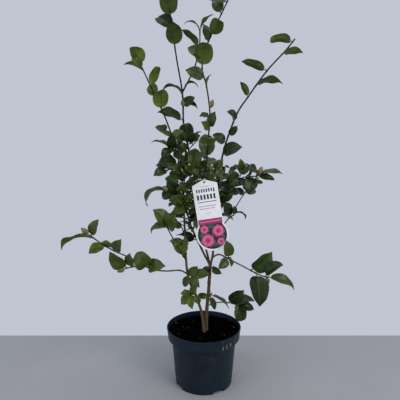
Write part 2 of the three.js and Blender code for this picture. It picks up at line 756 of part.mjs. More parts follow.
const limbs = makeLimbs()
const tie = tieCurve(limbs)
const tieRadius = () => TIE.radius
const claimed = [...labelBalls(), ...beads(tie, tieRadius)]
const sprays = makeSprays(limbs, claimed)

addPiece('pot', makePot(), 'pot')
addPiece('soil', makeSoil(), 'soil')
for (const [name, { body }] of Object.entries(limbs)) addPiece(name, body, 'bark')
for (const [name, body] of Object.entries(sprays)) addPiece(`${name}_leaves`, body, 'leaf')
addPiece('label', makeLabel(), 'label')
addPiece('label_tie', solid(tube(tie, tieRadius, TIE.sides, tie.getLength() / TIE.steps, true)), 'tie')

export default plant
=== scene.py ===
# %% [markdown]
# # A young camellia in its nursery pot
# The plant is one trunk that forks into a few slender stems, with side boughs, short leafy twigs
# and a hanging label, all in a dark plastic pot. Everything is measured in millimetres here and
# turned to Blender's metres in one place, when a mesh is made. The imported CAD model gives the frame:
# what is built below stands for its solids, in the same place and to the same size.

# %% The frame
import math

import bpy
import numpy as np
from mathutils import Euler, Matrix, Vector, geometry, noise


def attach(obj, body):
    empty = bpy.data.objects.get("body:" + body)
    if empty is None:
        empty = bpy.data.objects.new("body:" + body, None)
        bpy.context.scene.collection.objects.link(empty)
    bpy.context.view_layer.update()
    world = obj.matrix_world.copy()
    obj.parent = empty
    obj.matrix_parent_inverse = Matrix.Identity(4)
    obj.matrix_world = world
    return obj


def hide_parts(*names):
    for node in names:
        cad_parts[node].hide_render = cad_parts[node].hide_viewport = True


MM = 0.001
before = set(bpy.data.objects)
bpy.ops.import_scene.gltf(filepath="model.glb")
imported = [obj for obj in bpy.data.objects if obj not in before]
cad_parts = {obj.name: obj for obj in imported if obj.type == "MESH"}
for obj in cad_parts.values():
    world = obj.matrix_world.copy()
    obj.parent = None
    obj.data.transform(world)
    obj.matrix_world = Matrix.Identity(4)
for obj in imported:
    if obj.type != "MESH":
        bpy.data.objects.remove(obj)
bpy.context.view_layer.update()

# %% [markdown]
# A plant's limbs are easiest to describe as a few points that a smooth line passes through, and a
# thickness at each end. Blender's own curves could carry them, but the leaves need to know where they
# sit along a limb, in millimetres, so the curve is worked out here: a Catmull-Rom spline, measured
# along its length.

# %% A route through points
RIGHT, BACK, UP = np.eye(3)


def unit(vector):
    return vector / np.linalg.norm(vector)


def around(count):
    """Evenly spaced turns of a circle."""
    return np.linspace(0, 2 * math.pi, count, endpoint=False)


def circle(middle, side, top, radius, count):
    """Points round a circle, from two directions across it."""
    turn = around(count)[:, None]
    return middle + radius * (side * np.cos(turn) + top * np.sin(turn))


KNOTS = 201  # places where a route's length is measured


class Route:
    """A smooth line through points, found again by the share of its length that lies behind."""

    def __init__(self, points, closed=False):
        points = np.array(points, float)
        before = points[-1] if closed else 2 * points[0] - points[1]
        after = points[:2] if closed else 2 * points[-1] - points[-2]
        self.points = np.vstack([before, points, after])
        self.spans = len(self.points) - 3
        self.knots = np.linspace(0, 1, KNOTS)
        steps = np.linalg.norm(np.diff(self.raw(self.knots), axis=0), axis=1)
        self.travelled = np.concatenate([[0], np.cumsum(steps)])
        self.length = self.travelled[-1]

    def raw(self, knot):
        knot = np.atleast_1d(knot)
        index = np.minimum((knot * self.spans).astype(int), self.spans - 1)
        t = (knot * self.spans - index)[:, None]
        p0, p1, p2, p3 = (self.points[index + k] for k in range(4))
        a, b = 0.5 * (p2 - p0), 0.5 * (p3 - p1)
        return p1 + a * t + (3 * (p2 - p1) - 2 * a - b) * t**2 + (2 * (p1 - p2) + a + b) * t**3

    def knot_at(self, share):
        return np.interp(np.asarray(share) * self.length, self.travelled, self.knots)

    def at(self, share):
        return self.raw(self.knot_at(share))

    def heading(self, share):
        knot = np.atleast_1d(self.knot_at(share))
        ahead = self.raw(np.minimum(knot + 1e-4, 1)) - self.raw(np.maximum(knot - 1e-4, 0))
        return ahead / np.linalg.norm(ahead, axis=1)[:, None]


def stations(route, count):
    """Evenly spaced places on a route, with two directions across it that turn as little as they can."""
    shares = np.linspace(0, 1, count + 1)
    points, aheads = route.at(shares), route.heading(shares)
    sides = [unit(np.cross(BACK, aheads[0]))]
    for ahead in aheads[1:]:
        sides.append(unit(sides[-1] - ahead * (sides[-1] @ ahead)))
    sides = np.array(sides)
    return points, aheads, sides, np.cross(aheads, sides), shares


# %% [markdown]
# The limbs. Each has the points it passes through and its radius at foot and tip. A camellia grown
# in a pot forks low: an old trunk, straight leaders, and long thin boughs that arch outwards.

# %% Limbs
LIMBS = {
    "main_stem": ([(6, 3, 128), (7, 0, 190), (12, -3, 250), (16, -4, 324)], (4.6, 4.1)),
    "left_stem": ([(2, -7, 128), (-5, -9, 189), (-21, -13, 243), (-39, -14, 288), (-45, -14, 345),
        (-48, -12, 431), (-52, -4, 519), (-62, 4, 581), (-77, 10, 638)], (3.7, 1.7)),
    "inner_bough": ([(15, -5, 318), (-8, -2, 364), (-33, 14, 417), (-49, 30, 477), (-50, 34, 512)],
        (2.8, 1.6)),
    "middle_leader": ([(15, -2, 320), (6, 4, 355), (-5, 9, 400), (-18, 12, 501), (-34, 12, 587),
        (-50, 14, 672)], (2.5, 1.9)),
    "right_leader": ([(17, -4, 320), (23, -3, 357), (15, -6, 409), (3, -17, 485), (-1, -23, 535),
        (5, -26, 570)], (2.9, 1.7)),
    "right_bough": ([(23, -3, 358), (27, 3, 392), (31, 14, 442), (36, 30, 510), (40, 46, 558)],
        (2.6, 2.1)),
    "left_low_bough": ([(-41, -14, 298), (-60, -24, 311), (-95, -40, 315), (-130, -56, 327),
        (-166, -68, 353), (-208, -80, 377)], (2, 1.5)),
    "right_low_bough": ([(20, -4, 337), (37, -24, 352), (60, -56, 350), (84, -78, 344),
        (106, -96, 337)], (2, 1.5)),
    "right_side_bough": ([(33, 19, 458), (41, 18, 491), (57, 10, 509), (73, 2, 523), (93, -8, 541)],
        (1.6, 1.1)),
    "right_inner_bough": ([(28, 5, 396), (48, 20, 413), (73, 40, 444), (89, 50, 468), (100, 56, 484)],
        (1.6, 1.1)),
}
GAP = 0.3  # clear space where one piece meets another
SOIL_TOP = 141
FLARE_GROW, FLARE_FADE = 0.12, 9  # root flare: share added at the soil, and its fade in mm


def limb_radius(points, radius, length):
    """The limb's radius along its length: an even taper, with a flare where it leaves the soil."""
    rooted = points[0][2] < SOIL_TOP

    def radius_at(share):
        above = np.maximum(share * length - (SOIL_TOP - points[0][2]), 0)
        flare = FLARE_GROW * np.exp(-above / FLARE_FADE) if rooted else 0
        return (radius[0] + (radius[1] - radius[0]) * share) * (1 + flare)

    return radius_at


limbs = {}
for name, (points, radius) in LIMBS.items():
    route = Route(points)
    limbs[name] = (route, limb_radius(points, radius, route.length))
print("limbs:", {name: round(route.length) for name, (route, _) in limbs.items()})

# %% [markdown]
# The leafy twigs. A leaf is written as a short word that reads like a wind direction, as seen from
# the front: `68nnw60+` sits 68 mm along its twig, points north-north-west, is 60 mm long and leans
# one step forward. `++` is two steps, `-` a step back, `~` a blade that curls under, `f` one that
# turns its upper face to the front and `u` its underside. `h` weakens that turn, and `i` is a narrow
# blade. Leaves face the light in this way on a real shrub, and words keep the whole crown readable
# on one page.

# %% Sprays of leaves
TIP = None  # a spray that carries its limb on from the tip, not from so many mm up its side
TWIG_TIP = 1.2  # radius at a twig's end


def from_limb(on, at, through, leaves="", buds="", rule=None, tip=TWIG_TIP, fork=None):
    """A spray: its limb, where it leaves it, the points of its stem, its words and its side twig."""
    return {"on": on, "at": at, "through": through, "leaves": leaves, "buds": buds, "rule": rule,
            "tip": tip, "fork": fork}


SPRAYS = {
    "left_top": from_limb("left_stem", TIP, [(-95, 12, 687), (-125, 6, 753), (-147, 0, 803)],
        "66n60+u 100nnw42-f 126nne62+uhi 166wnw50uh 174nw36f 182nnw54+u"),
    "middle_top": from_limb("middle_leader", TIP, [(-52, 16, 741), (-65, 12, 821), (-76, 4, 903),
        (-83, 0, 965)],
        "4wnw66fh 36ne38f 42ese38 60w68~i 174n62+u 215nw58-f 240n74+u 280nne46f 290nw44-f 300n46u",
        buds="36n13", fork=(70, [(-29, 24, 786), (-18, 28, 816), (-11, 30, 851), (-10, 30, 885)],
        "8e46~i 116nw60uhi 146wnw56~i 152ne50i")),
    "right_top": from_limb("right_leader", TIP, [(9, -30, 630), (13, -30, 694), (5, -30, 755),
        (-5, -30, 794), (0, -31, 830), (19, -34, 874), (42, -38, 920), (60, -40, 957)],
        "20n66-f 48n52++u 86nw32+f 90nne42f 116w30-f 185nne30 202wnw50f 228n66+u 246nw54-f 285nnw42fh "
        "300nne60+u 352nnw48-f 380w40f 392n44u 402ne46f", buds="136nne14"),
    "right_high": from_limb("right_bough", TIP, [(56, 66, 619), (85, 90, 691), (115, 110, 734),
        (163, 142, 797), (217, 176, 853), (244, 192, 885)],
        "30ene58f 64wnw42f 84ne34f 122nw44fh~ 200nnw46uhi 238e76uhi 292wnw74uhi 360e56uh 406w80uhi~",
        tip=1.8),
    "middle_upper": from_limb("middle_leader", 300, [(-40, 18, 622)], "6n62-f 12ene38f 14nnw34+f"),
    "middle_low": from_limb("middle_leader", 292, [(-42, 2, 612)], "6wnw28+f 8ne24~ 12nw26f 10sw22"),
    "left_front": from_limb("left_stem", 346, [(-44, -28, 484), (-40, -38, 504)],
        "8wsw40+f 14e32+f 18nw42+f 24nne38+f 28w44+f"),
    "middle_dark": from_limb("middle_leader", 232, [(-22, 2, 562)],
        "3w34+f 5nw38+f 10n52+f 14sw34+f 18n54-f"),
    "left_upper_side": from_limb("left_stem", 485, [(-84, -6, 613)],
        "4se32+f 8wsw24 12n48+f 14sw38+f 16wnw52", buds="8w8"),
    "left_cluster_high": from_limb("left_stem", 452, [(-82, -10, 562), (-94, -20, 556)],
        "4wnw50+f 12nw46-f 20w56~ 24nnw28~ 30wnw52++f 36wsw40+f 40sw34~"),
    "left_cluster_low": from_limb("left_stem", 380, [(-77, -22, 512), (-97, -32, 510)],
        "8ssw38f 14nw46+f 20wsw46f 28n38+f 34wsw40++f 46sw80~i", buds="44nw13+"),
    "inner_top": from_limb("inner_bough", TIP, [(-48, 38, 545), (-44, 38, 575)],
        "6e30f 16nw42-f 26ne36-f 36nnw40-f 46n48+f 56ne36f", buds="3ese14+ 6w8"),
    "inner_side": from_limb("inner_bough", 135, [(-52, 10, 466), (-58, 4, 488)],
        "4ene32f 12w40f 20nne36+f 32nnw44f 40nw44+f"),
    "left_side": from_limb("left_stem", 213, [(-59, -24, 361), (-82, -42, 412), (-91, -48, 436)],
        "12nnw62u 5nw34u 102nne56+f 104wsw54~ 106nw60fh 110n34+f 114ene30-"),
    "left_low_middle": from_limb("left_low_bough", 106, [(-143, -64, 340)],
        "4nne28-- 4ene56+f 10nnw62fh~"),
    "left_low_under": from_limb("left_low_bough", 118, [(-172, -72, 336), (-196, -78, 331)],
        "22nne38f 34n44f 44nw58f", buds="50wsw13"),
    "left_low_tip": from_limb("left_low_bough", TIP, [(-233, -86, 394), (-256, -90, 413),
        (-266, -92, 421)], "2nne50+f 24wsw48+u 40ese30u 56wsw92uh 66nne46fh", buds="74nw15"),
    "right_low_middle": from_limb("right_low_bough", 60, [(64, -64, 357)], "4sw36+f 6sse26 9n46f"),
    "right_low_tip": from_limb("right_low_bough", TIP, [(128, -108, 329), (144, -114, 326)],
        "2ne68f 16s80+f 40ene64~i 44ese74i", buds="48s14"),
    "right_cluster": from_limb("right_bough", 168, [(30, 22, 545), (26, 18, 560)],
        "10wsw44+f 14e36-f 26wnw34f 32nne38f", buds="28se13+"),
    "right_side_middle": from_limb("right_side_bough", 72, [(79, -8, 532)],
        "2nnw36f 4w44f 9ese46~ 12nnw50+f"),
    "right_side_tip": from_limb("right_side_bough", TIP, [(110, -14, 544), (125, -20, 546),
        (133, -24, 552)], "8nnw42~ 26ssw50+f 34wnw46~ 36ese46fhi 42e60fhi", buds="40nne15 36s10"),
    "right_side_low": from_limb("right_side_bough", 36, [(46, 10, 497)], "3ese26 9nne32f"),
    "right_inner_low": from_limb("right_inner_bough", 54, [(76, 30, 440)], "2nnw48f 14ese46~i 18n24f"),
    "right_inner_tip": from_limb("right_inner_bough", TIP, [(108, 60, 495)], "2nw28f 8e38-f 12nne34f"),
    "right_inner_leaf": from_limb("right_leader", 226, [(-10, -30, 552)], "8wnw34f 10ne34-f"),
    "inner_low": from_limb("inner_bough", 78, [(-32, -4, 400)], "3wsw26f 8w36"),
    "inner_middle": from_limb("inner_bough", 118, [(-33, 8, 434)], "6ne30f 10nnw32+f"),
    "foot_left": from_limb("left_stem", 120, [(-33, -22, 247)],
        "4sse30f 8sw40f 10s40+f 11nne32f 12w28 14nw34+f"),
    "foot_middle": from_limb("left_stem", 170, [(-27, -20, 302)], "3ne36f 7ssw34f 8se40+f 12e48f"),
    "foot_inner": from_limb("main_stem", 104, [(20, -12, 247)], "4w30f 8sse42fi 12se62i"),
    "foot_right": from_limb("main_stem", 178, [(25, -12, 318)], "6wsw28f 9ese32+f"),
    "low_back": from_limb("main_stem", 80, [(36, 60, 191), (66, 100, 174), (100, 120, 158),
        (117, 126, 149)], "126ne58f 146e64fh 156ese54f 160sse54f", buds="156s13+"),
    "back_left": from_limb("left_stem", 330, [(-60, 22, 474), (-66, 46, 498)], rule=(5, 50)),
    "back_middle": from_limb("middle_leader", 160, [(0, 44, 500), (4, 66, 526)], rule=(6, 52)),
    "back_right": from_limb("right_bough", 82, [(48, 44, 462), (60, 70, 486)], rule=(5, 50)),
    "front_middle": from_limb("right_leader", 110, [(30, -24, 452), (38, -34, 474)], rule=(4, 46)),
}

# %% [markdown]
# Nature varies each leaf a little, and so does a rule with a seed: the same seed deals the same
# numbers every time, so the shrub never changes from one run to the next. Leaves on a twig without
# words stand in a spiral, two turns to five leaves, which is how a camellia sets them.

# %% Chance, words and the spiral
HALF_FACING = 0.35  # what h makes of f and u
LEAF_TURN = 144  # degrees from one leaf of the spiral to the next
COMPASS = "n nne ne ene e ese se sse s ssw sw wsw w wnw nw nnw".split()


def seeded(seed):
    """A repeatable stream of numbers from 0 to 1."""
    state = seed

    def draw():
        nonlocal state
        state = (state + 0x6D2B79F5) & 0xFFFFFFFF
        t = ((state ^ (state >> 15)) * (state | 1)) & 0xFFFFFFFF
        t ^= (t + (t ^ (t >> 7)) * (t | 61)) & 0xFFFFFFFF
        return (t ^ (t >> 14)) / 4294967296

    return draw


def mix(low, high, share):
    return low + (high - low) * share


def leaf_at(at, wind, size, lean, facing=0, curled=False, narrow=False):
    """A leaf's place on its twig, bearing, size, lean, facing, and whether it curls or is narrow."""
    return {"at": at, "wind": wind, "size": size, "lean": lean, "facing": facing,
            "curled": curled, "narrow": narrow}


def read_words(words):
    """'68nnw60+' as one leaf, 68 mm along its twig, and so on for each word."""
    leaves = []
    for word in words.split():
        body = word.rstrip("+-~fuhi")
        marks = word[len(body):]
        wind = body.strip("0123456789")
        at, size = map(float, body.split(wind))
        facing = (marks.count("f") - marks.count("u")) * (HALF_FACING if "h" in marks else 1)
        leaves.append(leaf_at(at, COMPASS.index(wind) * 22.5, size, marks.count("+") - marks.count("-"),
                              facing, "~" in marks, "i" in marks))
    return leaves


def spiral(count, size, length, draw):
    turn = draw() * 360
    leaves = []
    for i in range(count):
        bearing = turn + LEAF_TURN * i
        leaves.append(leaf_at(length * mix(0.35, 1, i / (count - 1)), bearing % 360,
                              size * mix(0.8, 1.1, draw()),
                              -math.cos(math.radians(bearing + 90)) * 1.5))
    return leaves


# %% [markdown]
# One leaf is a bent midrib with a breadth to each side. Where it springs, where it points and five
# dealt numbers settle it: a small swing, a roll, an arch, a breadth and the fold along the midrib.

# %% The shape of a leaf
LEAF_ASPECT = 0.57  # width over length
STALK = 0.09  # stalk over length
NARROW = 0.6  # what i makes of a blade's width
ROUNDING, POINTING = 0.62, 1  # exponents of the outline at its base and at its tip
STEP_LEAN = 32  # degrees of lean for one + or -
FACING = 1.5  # how far f and u pull a blade's face round, against its own upward 1


def pointing(bearing, lean):
    turn, tilt = math.radians(bearing), math.radians(lean)
    return np.array([math.sin(turn) * math.cos(tilt), -math.sin(tilt), math.cos(turn) * math.cos(tilt)])


def outline(share, rounding=ROUNDING, tip=POINTING):
    """Half the blade's width at a share of its length, as a share of its greatest."""
    widest = rounding / (rounding + tip)
    return share**rounding * (1 - share) ** tip / (widest**rounding * (1 - widest) ** tip)


class Leaf:
    def __init__(self, foot, ahead, radius, leaf, draws, more_lean, more_turn):
        swing, roll, arch, broad, fold = draws
        bearing = leaf["wind"] + mix(-7, 7, swing) + more_turn
        self.chord = pointing(bearing, STEP_LEAN * leaf["lean"] + more_lean)
        shown = UP * 0.6 + ahead * 0.4 - BACK * FACING * leaf["facing"]
        flat = unit(shown - self.chord * (shown @ self.chord))
        turn = math.radians(mix(-22, 22, roll))
        self.normal = flat * math.cos(turn) + np.cross(self.chord, flat) * math.sin(turn)
        self.side = np.cross(self.normal, self.chord)
        self.bend = math.radians(mix(120, 150, arch) if leaf["curled"] else mix(30, 70, arch))
        self.size = leaf["size"]
        self.foot = foot
        start, _ = self.turned(np.array([0.0]))
        self.start = foot + start[0] * (radius + STALK * self.size)
        self.half = 0.5 * LEAF_ASPECT * self.size * mix(0.88, 1.12, broad)
        self.half *= NARROW if leaf["narrow"] else 1
        self.rise = math.tan(math.radians(mix(8, 24, fold)))

    def turned(self, shares):
        """The midrib's heading and the way its upper face looks, at shares of the blade."""
        turn = (-self.bend * (0.5 - shares))[:, None]
        heading = self.chord * np.cos(turn) - self.normal * np.sin(turn)
        return heading, self.normal * np.cos(turn) + self.chord * np.sin(turn)

    def midrib(self, shares):
        """Points along the midrib: the arc that its heading draws."""
        turn, first = -self.bend * (0.5 - shares), -self.bend * 0.5
        run = ((np.sin(turn) - math.sin(first)) / self.bend)[:, None]
        fall = ((np.cos(turn) - math.cos(first)) / self.bend)[:, None]
        return self.start + (self.chord * run + self.normal * fall) * self.size * (1 - STALK)


# %% [markdown]
# Leaves keep out of each other's way. Each has feelers over its blade, and the limbs, twigs, the
# label and the leaves already placed are rows of balls. A leaf that would touch one turns aside in
# small steps, and one that finds no room is left out, as on the real shrub.

# %% Room for each leaf
FEEL_ALONG = np.array([0.1, 0.22, 0.34, 0.46, 0.58, 0.7, 0.82, 0.94])
FEEL_ACROSS = np.array([-1, -0.5, 0, 0.5, 1])
REACH_OF_LEAF = 2.2  # how far round each feeler a leaf claims its space
STALK_ZONE = 0.4  # the share of a blade that may lie close to its own twig and limb
TRIALS = [(0, 0)] + [  # degrees of lean and of turn that a leaf tries, one way and then the other
    (sign * lean, sign * turn) for lean, turn in (
        (12, 0), (0, 10), (24, 0), (14, 14), (14, -14), (38, 0), (26, 22), (26, -22), (54, 0))
    for sign in (1, -1)]
RIM_RADIUS, POT_HEIGHT = 95, 153
BESIDE_RIM, OVER_RIM, OVER_FLOOR = 5, 6, 30  # mm that leaves stay clear of the pot and the floor
BEAD_SPACING, BEAD_CLEARANCE = 5, 0.6  # the balls along a limb: how far apart, and how much fatter
MOST_BALLS = 40000


class Space:
    """Balls that leaves keep clear of: where each is, its reach, and whose it is."""

    def __init__(self):
        self.spots = np.zeros((MOST_BALLS, 3))
        self.reach = np.zeros(MOST_BALLS)
        self.owner = np.zeros(MOST_BALLS, int)
        self.count = 0

    def claim(self, spots, reach, owner):
        spots = np.atleast_2d(spots)
        part = slice(self.count, self.count + len(spots))
        self.spots[part], self.reach[part], self.owner[part] = spots, reach, owner
        self.count += len(spots)

    def clear(self, spots, near, kin):
        """Whether a leaf may stand there: near says which feelers may touch their own kin."""
        over_pot = np.hypot(spots[:, 0], spots[:, 1]) < RIM_RADIUS + BESIDE_RIM
        if np.any(spots[:, 2] <= np.where(over_pot, POT_HEIGHT + OVER_RIM, OVER_FLOOR)):
            return False
        middle = spots.mean(0)
        span = np.linalg.norm(spots - middle, axis=1).max() + 12
        close = np.flatnonzero(np.linalg.norm(self.spots[: self.count] - middle, axis=1) < span)
        gap = np.linalg.norm(spots[:, None] - self.spots[close][None], axis=2)
        crowded = gap <= self.reach[close] + REACH_OF_LEAF
        mine = np.isin(self.owner[close], kin)
        return not np.any(crowded & ~(near[:, None] & mine[None]))


def feelers(leaf):
    """Points over a leaf's blade, and which of them lie near its stalk."""
    reach = 0.9 * leaf.half * outline(FEEL_ALONG)
    middle = leaf.midrib(FEEL_ALONG)
    _, lift = leaf.turned(FEEL_ALONG)
    across = FEEL_ACROSS[None, :, None] * reach[:, None, None]
    spots = middle[:, None] + leaf.side * across + lift[:, None] * np.abs(across) * leaf.rise
    near = np.repeat(FEEL_ALONG < STALK_ZONE, len(FEEL_ACROSS))
    stalk = leaf.foot + 0.6 * (leaf.start - leaf.foot)
    return np.vstack([stalk, spots.reshape(-1, 3)]), np.concatenate([[True], near])


def beads(space, route, radius_at, owner):
    points, _, _, _, shares = stations(route, math.ceil(route.length / BEAD_SPACING))
    space.claim(points, radius_at(shares) + BEAD_CLEARANCE, owner)


def place_leaf(space, twig, leaf, draws):
    """Turns a leaf aside until it is clear. Returns None if it never is."""
    share = min(leaf["at"] / twig["route"].length, 1)
    point, ahead = twig["route"].at(share)[0], twig["route"].heading(share)[0]
    for more_lean, more_turn in TRIALS:
        shape = Leaf(point, ahead, twig["radius_at"](share), leaf, draws, more_lean, more_turn)
        spots, near = feelers(shape)
        if space.clear(spots, near, twig["kin"]):
            space.claim(spots, REACH_OF_LEAF, np.where(near, twig["number"], 0))
            return shape
    return None


# %% [markdown]
# The label hangs from the right leader by a loop of plastic. Its own frame has the hole at the
# origin, the face to the front, and the foot swung to the right and a little forward, and the loop
# goes round the stem, over the label's top and through the hole. Both claim their space first.

# %% The label's frame and its tie
LABEL_HOLE = np.array([0.0, -38.0, 534.0])  # centre of the hole that the tie goes through
LABEL_WIDTH, LABEL_THICKNESS, HOLE_RADIUS = 60, 0.8, 2.4
LABEL_PEAK, LABEL_SHOULDER = 6.5, 5  # the roof's top above the hole, and its foot below it
LABEL_DISC, DISC_RADIUS = 127, 39  # from the hole down to the round end's centre, and its radius
LABEL_TILT, LABEL_LEAN = 9, 4  # degrees: foot to the right, and foot forward
TIE_RADIUS = 0.7

label_turn = np.array(
    Euler((0, -math.radians(LABEL_TILT), 0)).to_matrix()
    @ Euler((math.pi / 2 - math.radians(LABEL_LEAN), 0, 0)).to_matrix()
)


def on_label(points):
    """Points in the label's own frame, moved to where it hangs."""
    return np.atleast_2d(points) @ label_turn.T + LABEL_HOLE


def tie_route():
    x, y, z = LABEL_HOLE
    route, radius_at = limbs["right_leader"]
    points, _, _, _, shares = stations(route, 200)
    level = np.argmin(np.abs(points[:, 2] - z))
    stem, reach = points[level], radius_at(shares[level]) + GAP + TIE_RADIUS
    return Route([
        (x, y, z + HOLE_RADIUS - TIE_RADIUS - GAP),
        (x - 2.5, y + 5, z - 1),
        (stem[0] - reach - 0.8, stem[1], z),
        (stem[0], stem[1] + reach + 0.4, z + 1),
        (stem[0] + reach + 0.8, stem[1], z + 3),
        (x + 2.5, y + 5, z + 7),
        (x, y - 0.5, z + LABEL_PEAK + 2.2),
        (x, y - 3.2, z + 4.5),
    ], closed=True)


space = Space()
down, across = np.meshgrid(np.arange(0, LABEL_DISC + DISC_RADIUS + 1, 6), np.arange(-30, 31, 6))
space.claim(on_label(np.stack([across, -down, 0 * down], -1).reshape(-1, 3)), 3, 0)
tie = tie_route()
beads(space, tie, lambda share: TIE_RADIUS + 0 * share, 0)
print("the tie is", round(tie.length, 1), "mm round")

# %% [markdown]
# Now the crown is laid out: first every limb and twig claims its room, then leaf after leaf takes
# its place. A twig runs on from its limb's tip, or springs from its side.

# %% Laying out the crown
SIDE_STEM = 1.3  # radius of a spray's stem where it springs from a limb's side
limb_number = {name: -1 - i for i, name in enumerate(limbs)}
for name, (route, radius_at) in limbs.items():
    beads(space, route, radius_at, limb_number[name])

twigs = []


def add_twig(spray, on, foot, thick, points, leaves, buds, draw, tip=TWIG_TIP):
    route = Route([foot, *points])
    radius_at = lambda share: thick + (min(thick, tip) - thick) * share
    if isinstance(leaves, tuple):
        leaves = spiral(*leaves, route.length, draw)
    twig = {
        "spray": spray, "number": len(twigs) + 1, "kin": [len(twigs) + 1, on], "route": route,
        "radius_at": radius_at, "buds": buds, "shapes": [],
        "leaves": [(leaf, [draw() for _ in range(5)]) for leaf in leaves],
    }
    twigs.append(twig)
    beads(space, route, radius_at, twig["number"])
    return twig


for number, (name, spray) in enumerate(SPRAYS.items()):
    route, radius_at = limbs[spray["on"]]
    from_tip = spray["at"] is TIP
    share = 1 if from_tip else min(spray["at"] / route.length, 1)
    thick = radius_at(1) if from_tip else SIDE_STEM
    draw = seeded(1000 + number)
    on = limb_number[spray["on"]]
    words = spray["rule"] or read_words(spray["leaves"])
    buds = read_words(spray["buds"])
    foot = route.at(share)[0]
    stem = add_twig(name, on, foot, thick, spray["through"], words, buds, draw, spray["tip"])
    if spray["fork"]:
        at, points, words = spray["fork"]
        share = at / stem["route"].length
        foot, thick = stem["route"].at(share)[0], stem["radius_at"](share)
        add_twig(name, on, foot, thick, points, read_words(words), [], draw)


def place_leaves(some_twigs):
    """Gives each leaf its place, and says which found none."""
    for twig in some_twigs:
        for leaf, draws in twig["leaves"]:
            shape = place_leaf(space, twig, leaf, draws)
            if shape:
                twig["shapes"].append(shape)
            elif twig["spray"] in SPRAYS:
                print("  no room:", twig["spray"], round(leaf["at"]), leaf["wind"])


place_leaves(twigs)
print(len(twigs), "twigs,", sum(len(twig["shapes"]) for twig in twigs), "leaves")

# %% [markdown]
# Between the main sprays a young camellia puts out short spurs with two or three small leaves each.
# They stand round their limb in the same spiral, so the middle of the crown is full from all sides,
# and each leaf finds its room in the same way as the rest.

# %% Finer spurs
SPUR_ZONES = [  # the limb, from and to in mm up it, and the spacing
    ("left_stem", 330, 520, 9), ("middle_leader", 110, 310, 14), ("inner_bough", 60, 215, 11),
    ("right_leader", 95, 262, 16), ("right_bough", 95, 215, 15), ("right_side_bough", 20, 118, 15),
    ("left_stem", 258, 330, 15),
]
SPUR_LENGTH, SPUR_RADIUS = (14, 44), 0.95
SPUR_LEAF = (22, 42)


def compass_of(way):
    """A direction as the bearing and lean steps that a leaf's words would give it."""
    return math.degrees(math.atan2(way[0], way[2])) % 360, math.degrees(-math.asin(way[1])) / STEP_LEAN


def spur_leaves(out, length, draw):
    """Two or three leaves to the sides of a spur and one that carries it on."""
    across = unit(np.cross(out, UP) + 0.001)
    leaves = []
    for i, at in enumerate((0.45, 0.75, 0.97)):
        if i == 0 and length < 24:
            continue
        swing = 0 if i == 2 else (-1) ** i * mix(0.7, 1.2, draw())
        way = unit(out + across * swing + UP * mix(-0.5, 0.35, draw()))
        wind, lean = compass_of(way)
        leaves.append(leaf_at(at * length, wind, mix(*SPUR_LEAF, draw()), lean, mix(0, 0.9, draw()),
                              draw() < 0.25, draw() < 0.3))
    return leaves


deal = seeded(404)
main_twigs = len(twigs)
for name, first, last, spacing in SPUR_ZONES:
    route, radius_at = limbs[name]
    turn = 360 * deal()
    for at in np.arange(first, last, spacing):
        share = min((at + mix(-0.3, 0.3, deal()) * spacing) / route.length, 1)
        foot, ahead = route.at(share)[0], route.heading(share)[0]
        side = unit(np.cross(ahead, BACK))
        turn += LEAF_TURN
        angle = math.radians(turn)
        round_way = side * math.cos(angle) + np.cross(side, ahead) * math.sin(angle)
        out = unit(round_way + ahead * mix(0.2, 0.8, deal()) + UP * 0.15)
        length = mix(*SPUR_LENGTH, deal())
        points = [foot + out * length * 0.5 + UP * 0.6, foot + out * length]
        leaves = spur_leaves(out, length, deal)
        add_twig(name, limb_number[name], foot, SPUR_RADIUS, points, leaves, [], deal)

place_leaves(twigs[main_twigs:])
spurs = [twig for twig in twigs[main_twigs:] if twig["shapes"]]
twigs = twigs[:main_twigs] + spurs
print(len(spurs), "spurs with", sum(len(twig["shapes"]) for twig in spurs), "small leaves")

# %% [markdown]
# ## Finishes
# Colours are written as the sRGB hex values that a paint card shows, and one function turns them to
# the linear light that shaders add and multiply. Another adds one node to a material, with its
# settings and its links, so each finish reads as a short recipe.

# %% Colour and node helpers
def linear(colour):
    """'#rrggbb' in sRGB as linear red, green, blue and an alpha of 1."""
    parts = [int(colour[i:i + 2], 16) / 255 for i in (1, 3, 5)]
    return (*[c / 12.92 if c <= 0.04045 else ((c + 0.055) / 1.055) ** 2.4 for c in parts], 1)


def add(tree, kind, settings=None, links=None):
    """Adds a node. A setting is an input's value or a property; a link joins an output to an input."""
    made = tree.nodes.new("ShaderNode" + kind)
    for key, value in (settings or {}).items():
        if isinstance(key, str) and hasattr(made, key):
            setattr(made, key, value)
        else:
            made.inputs[key].default_value = value
    for key, output in (links or {}).items():
        tree.links.new(output, made.inputs[key])
    return made


def material(name, roughness, ior=1.5, more=None):
    """A new material, its node tree and its Principled shader, with more of its numbers set."""
    made = bpy.data.materials.new(name)
    made.use_nodes = True
    tree = made.node_tree
    shader = tree.nodes["Principled BSDF"]
    for socket, value in {"Roughness": roughness, "IOR": ior, **(more or {})}.items():
        shader.inputs[socket].default_value = value
    return made, tree, shader


def noise_at(tree, size_mm, detail=3, stretch=(1, 1, 1)):
    """Noise whose blotches are about that many millimetres across, stretched along an axis."""
    place = add(tree, "TexCoord")
    scaled = add(tree, "Mapping", {"Scale": [1 / (size_mm * MM * s) for s in stretch]},
                 {"Vector": place.outputs["Object"]})
    return add(tree, "TexNoise", {"Scale": 1, "Detail": detail}, {"Vector": scaled.outputs["Vector"]})


def feed(tree, socket, colour):
    """Gives a socket its colour: a hex value, or what another node puts out."""
    if isinstance(colour, str):
        socket.default_value = linear(colour)
    else:
        tree.links.new(colour, socket)


def darker(tree, colour, value):
    shade = add(tree, "HueSaturation", {"Value": value})
    feed(tree, shade.inputs["Color"], colour)
    return shade.outputs["Color"]


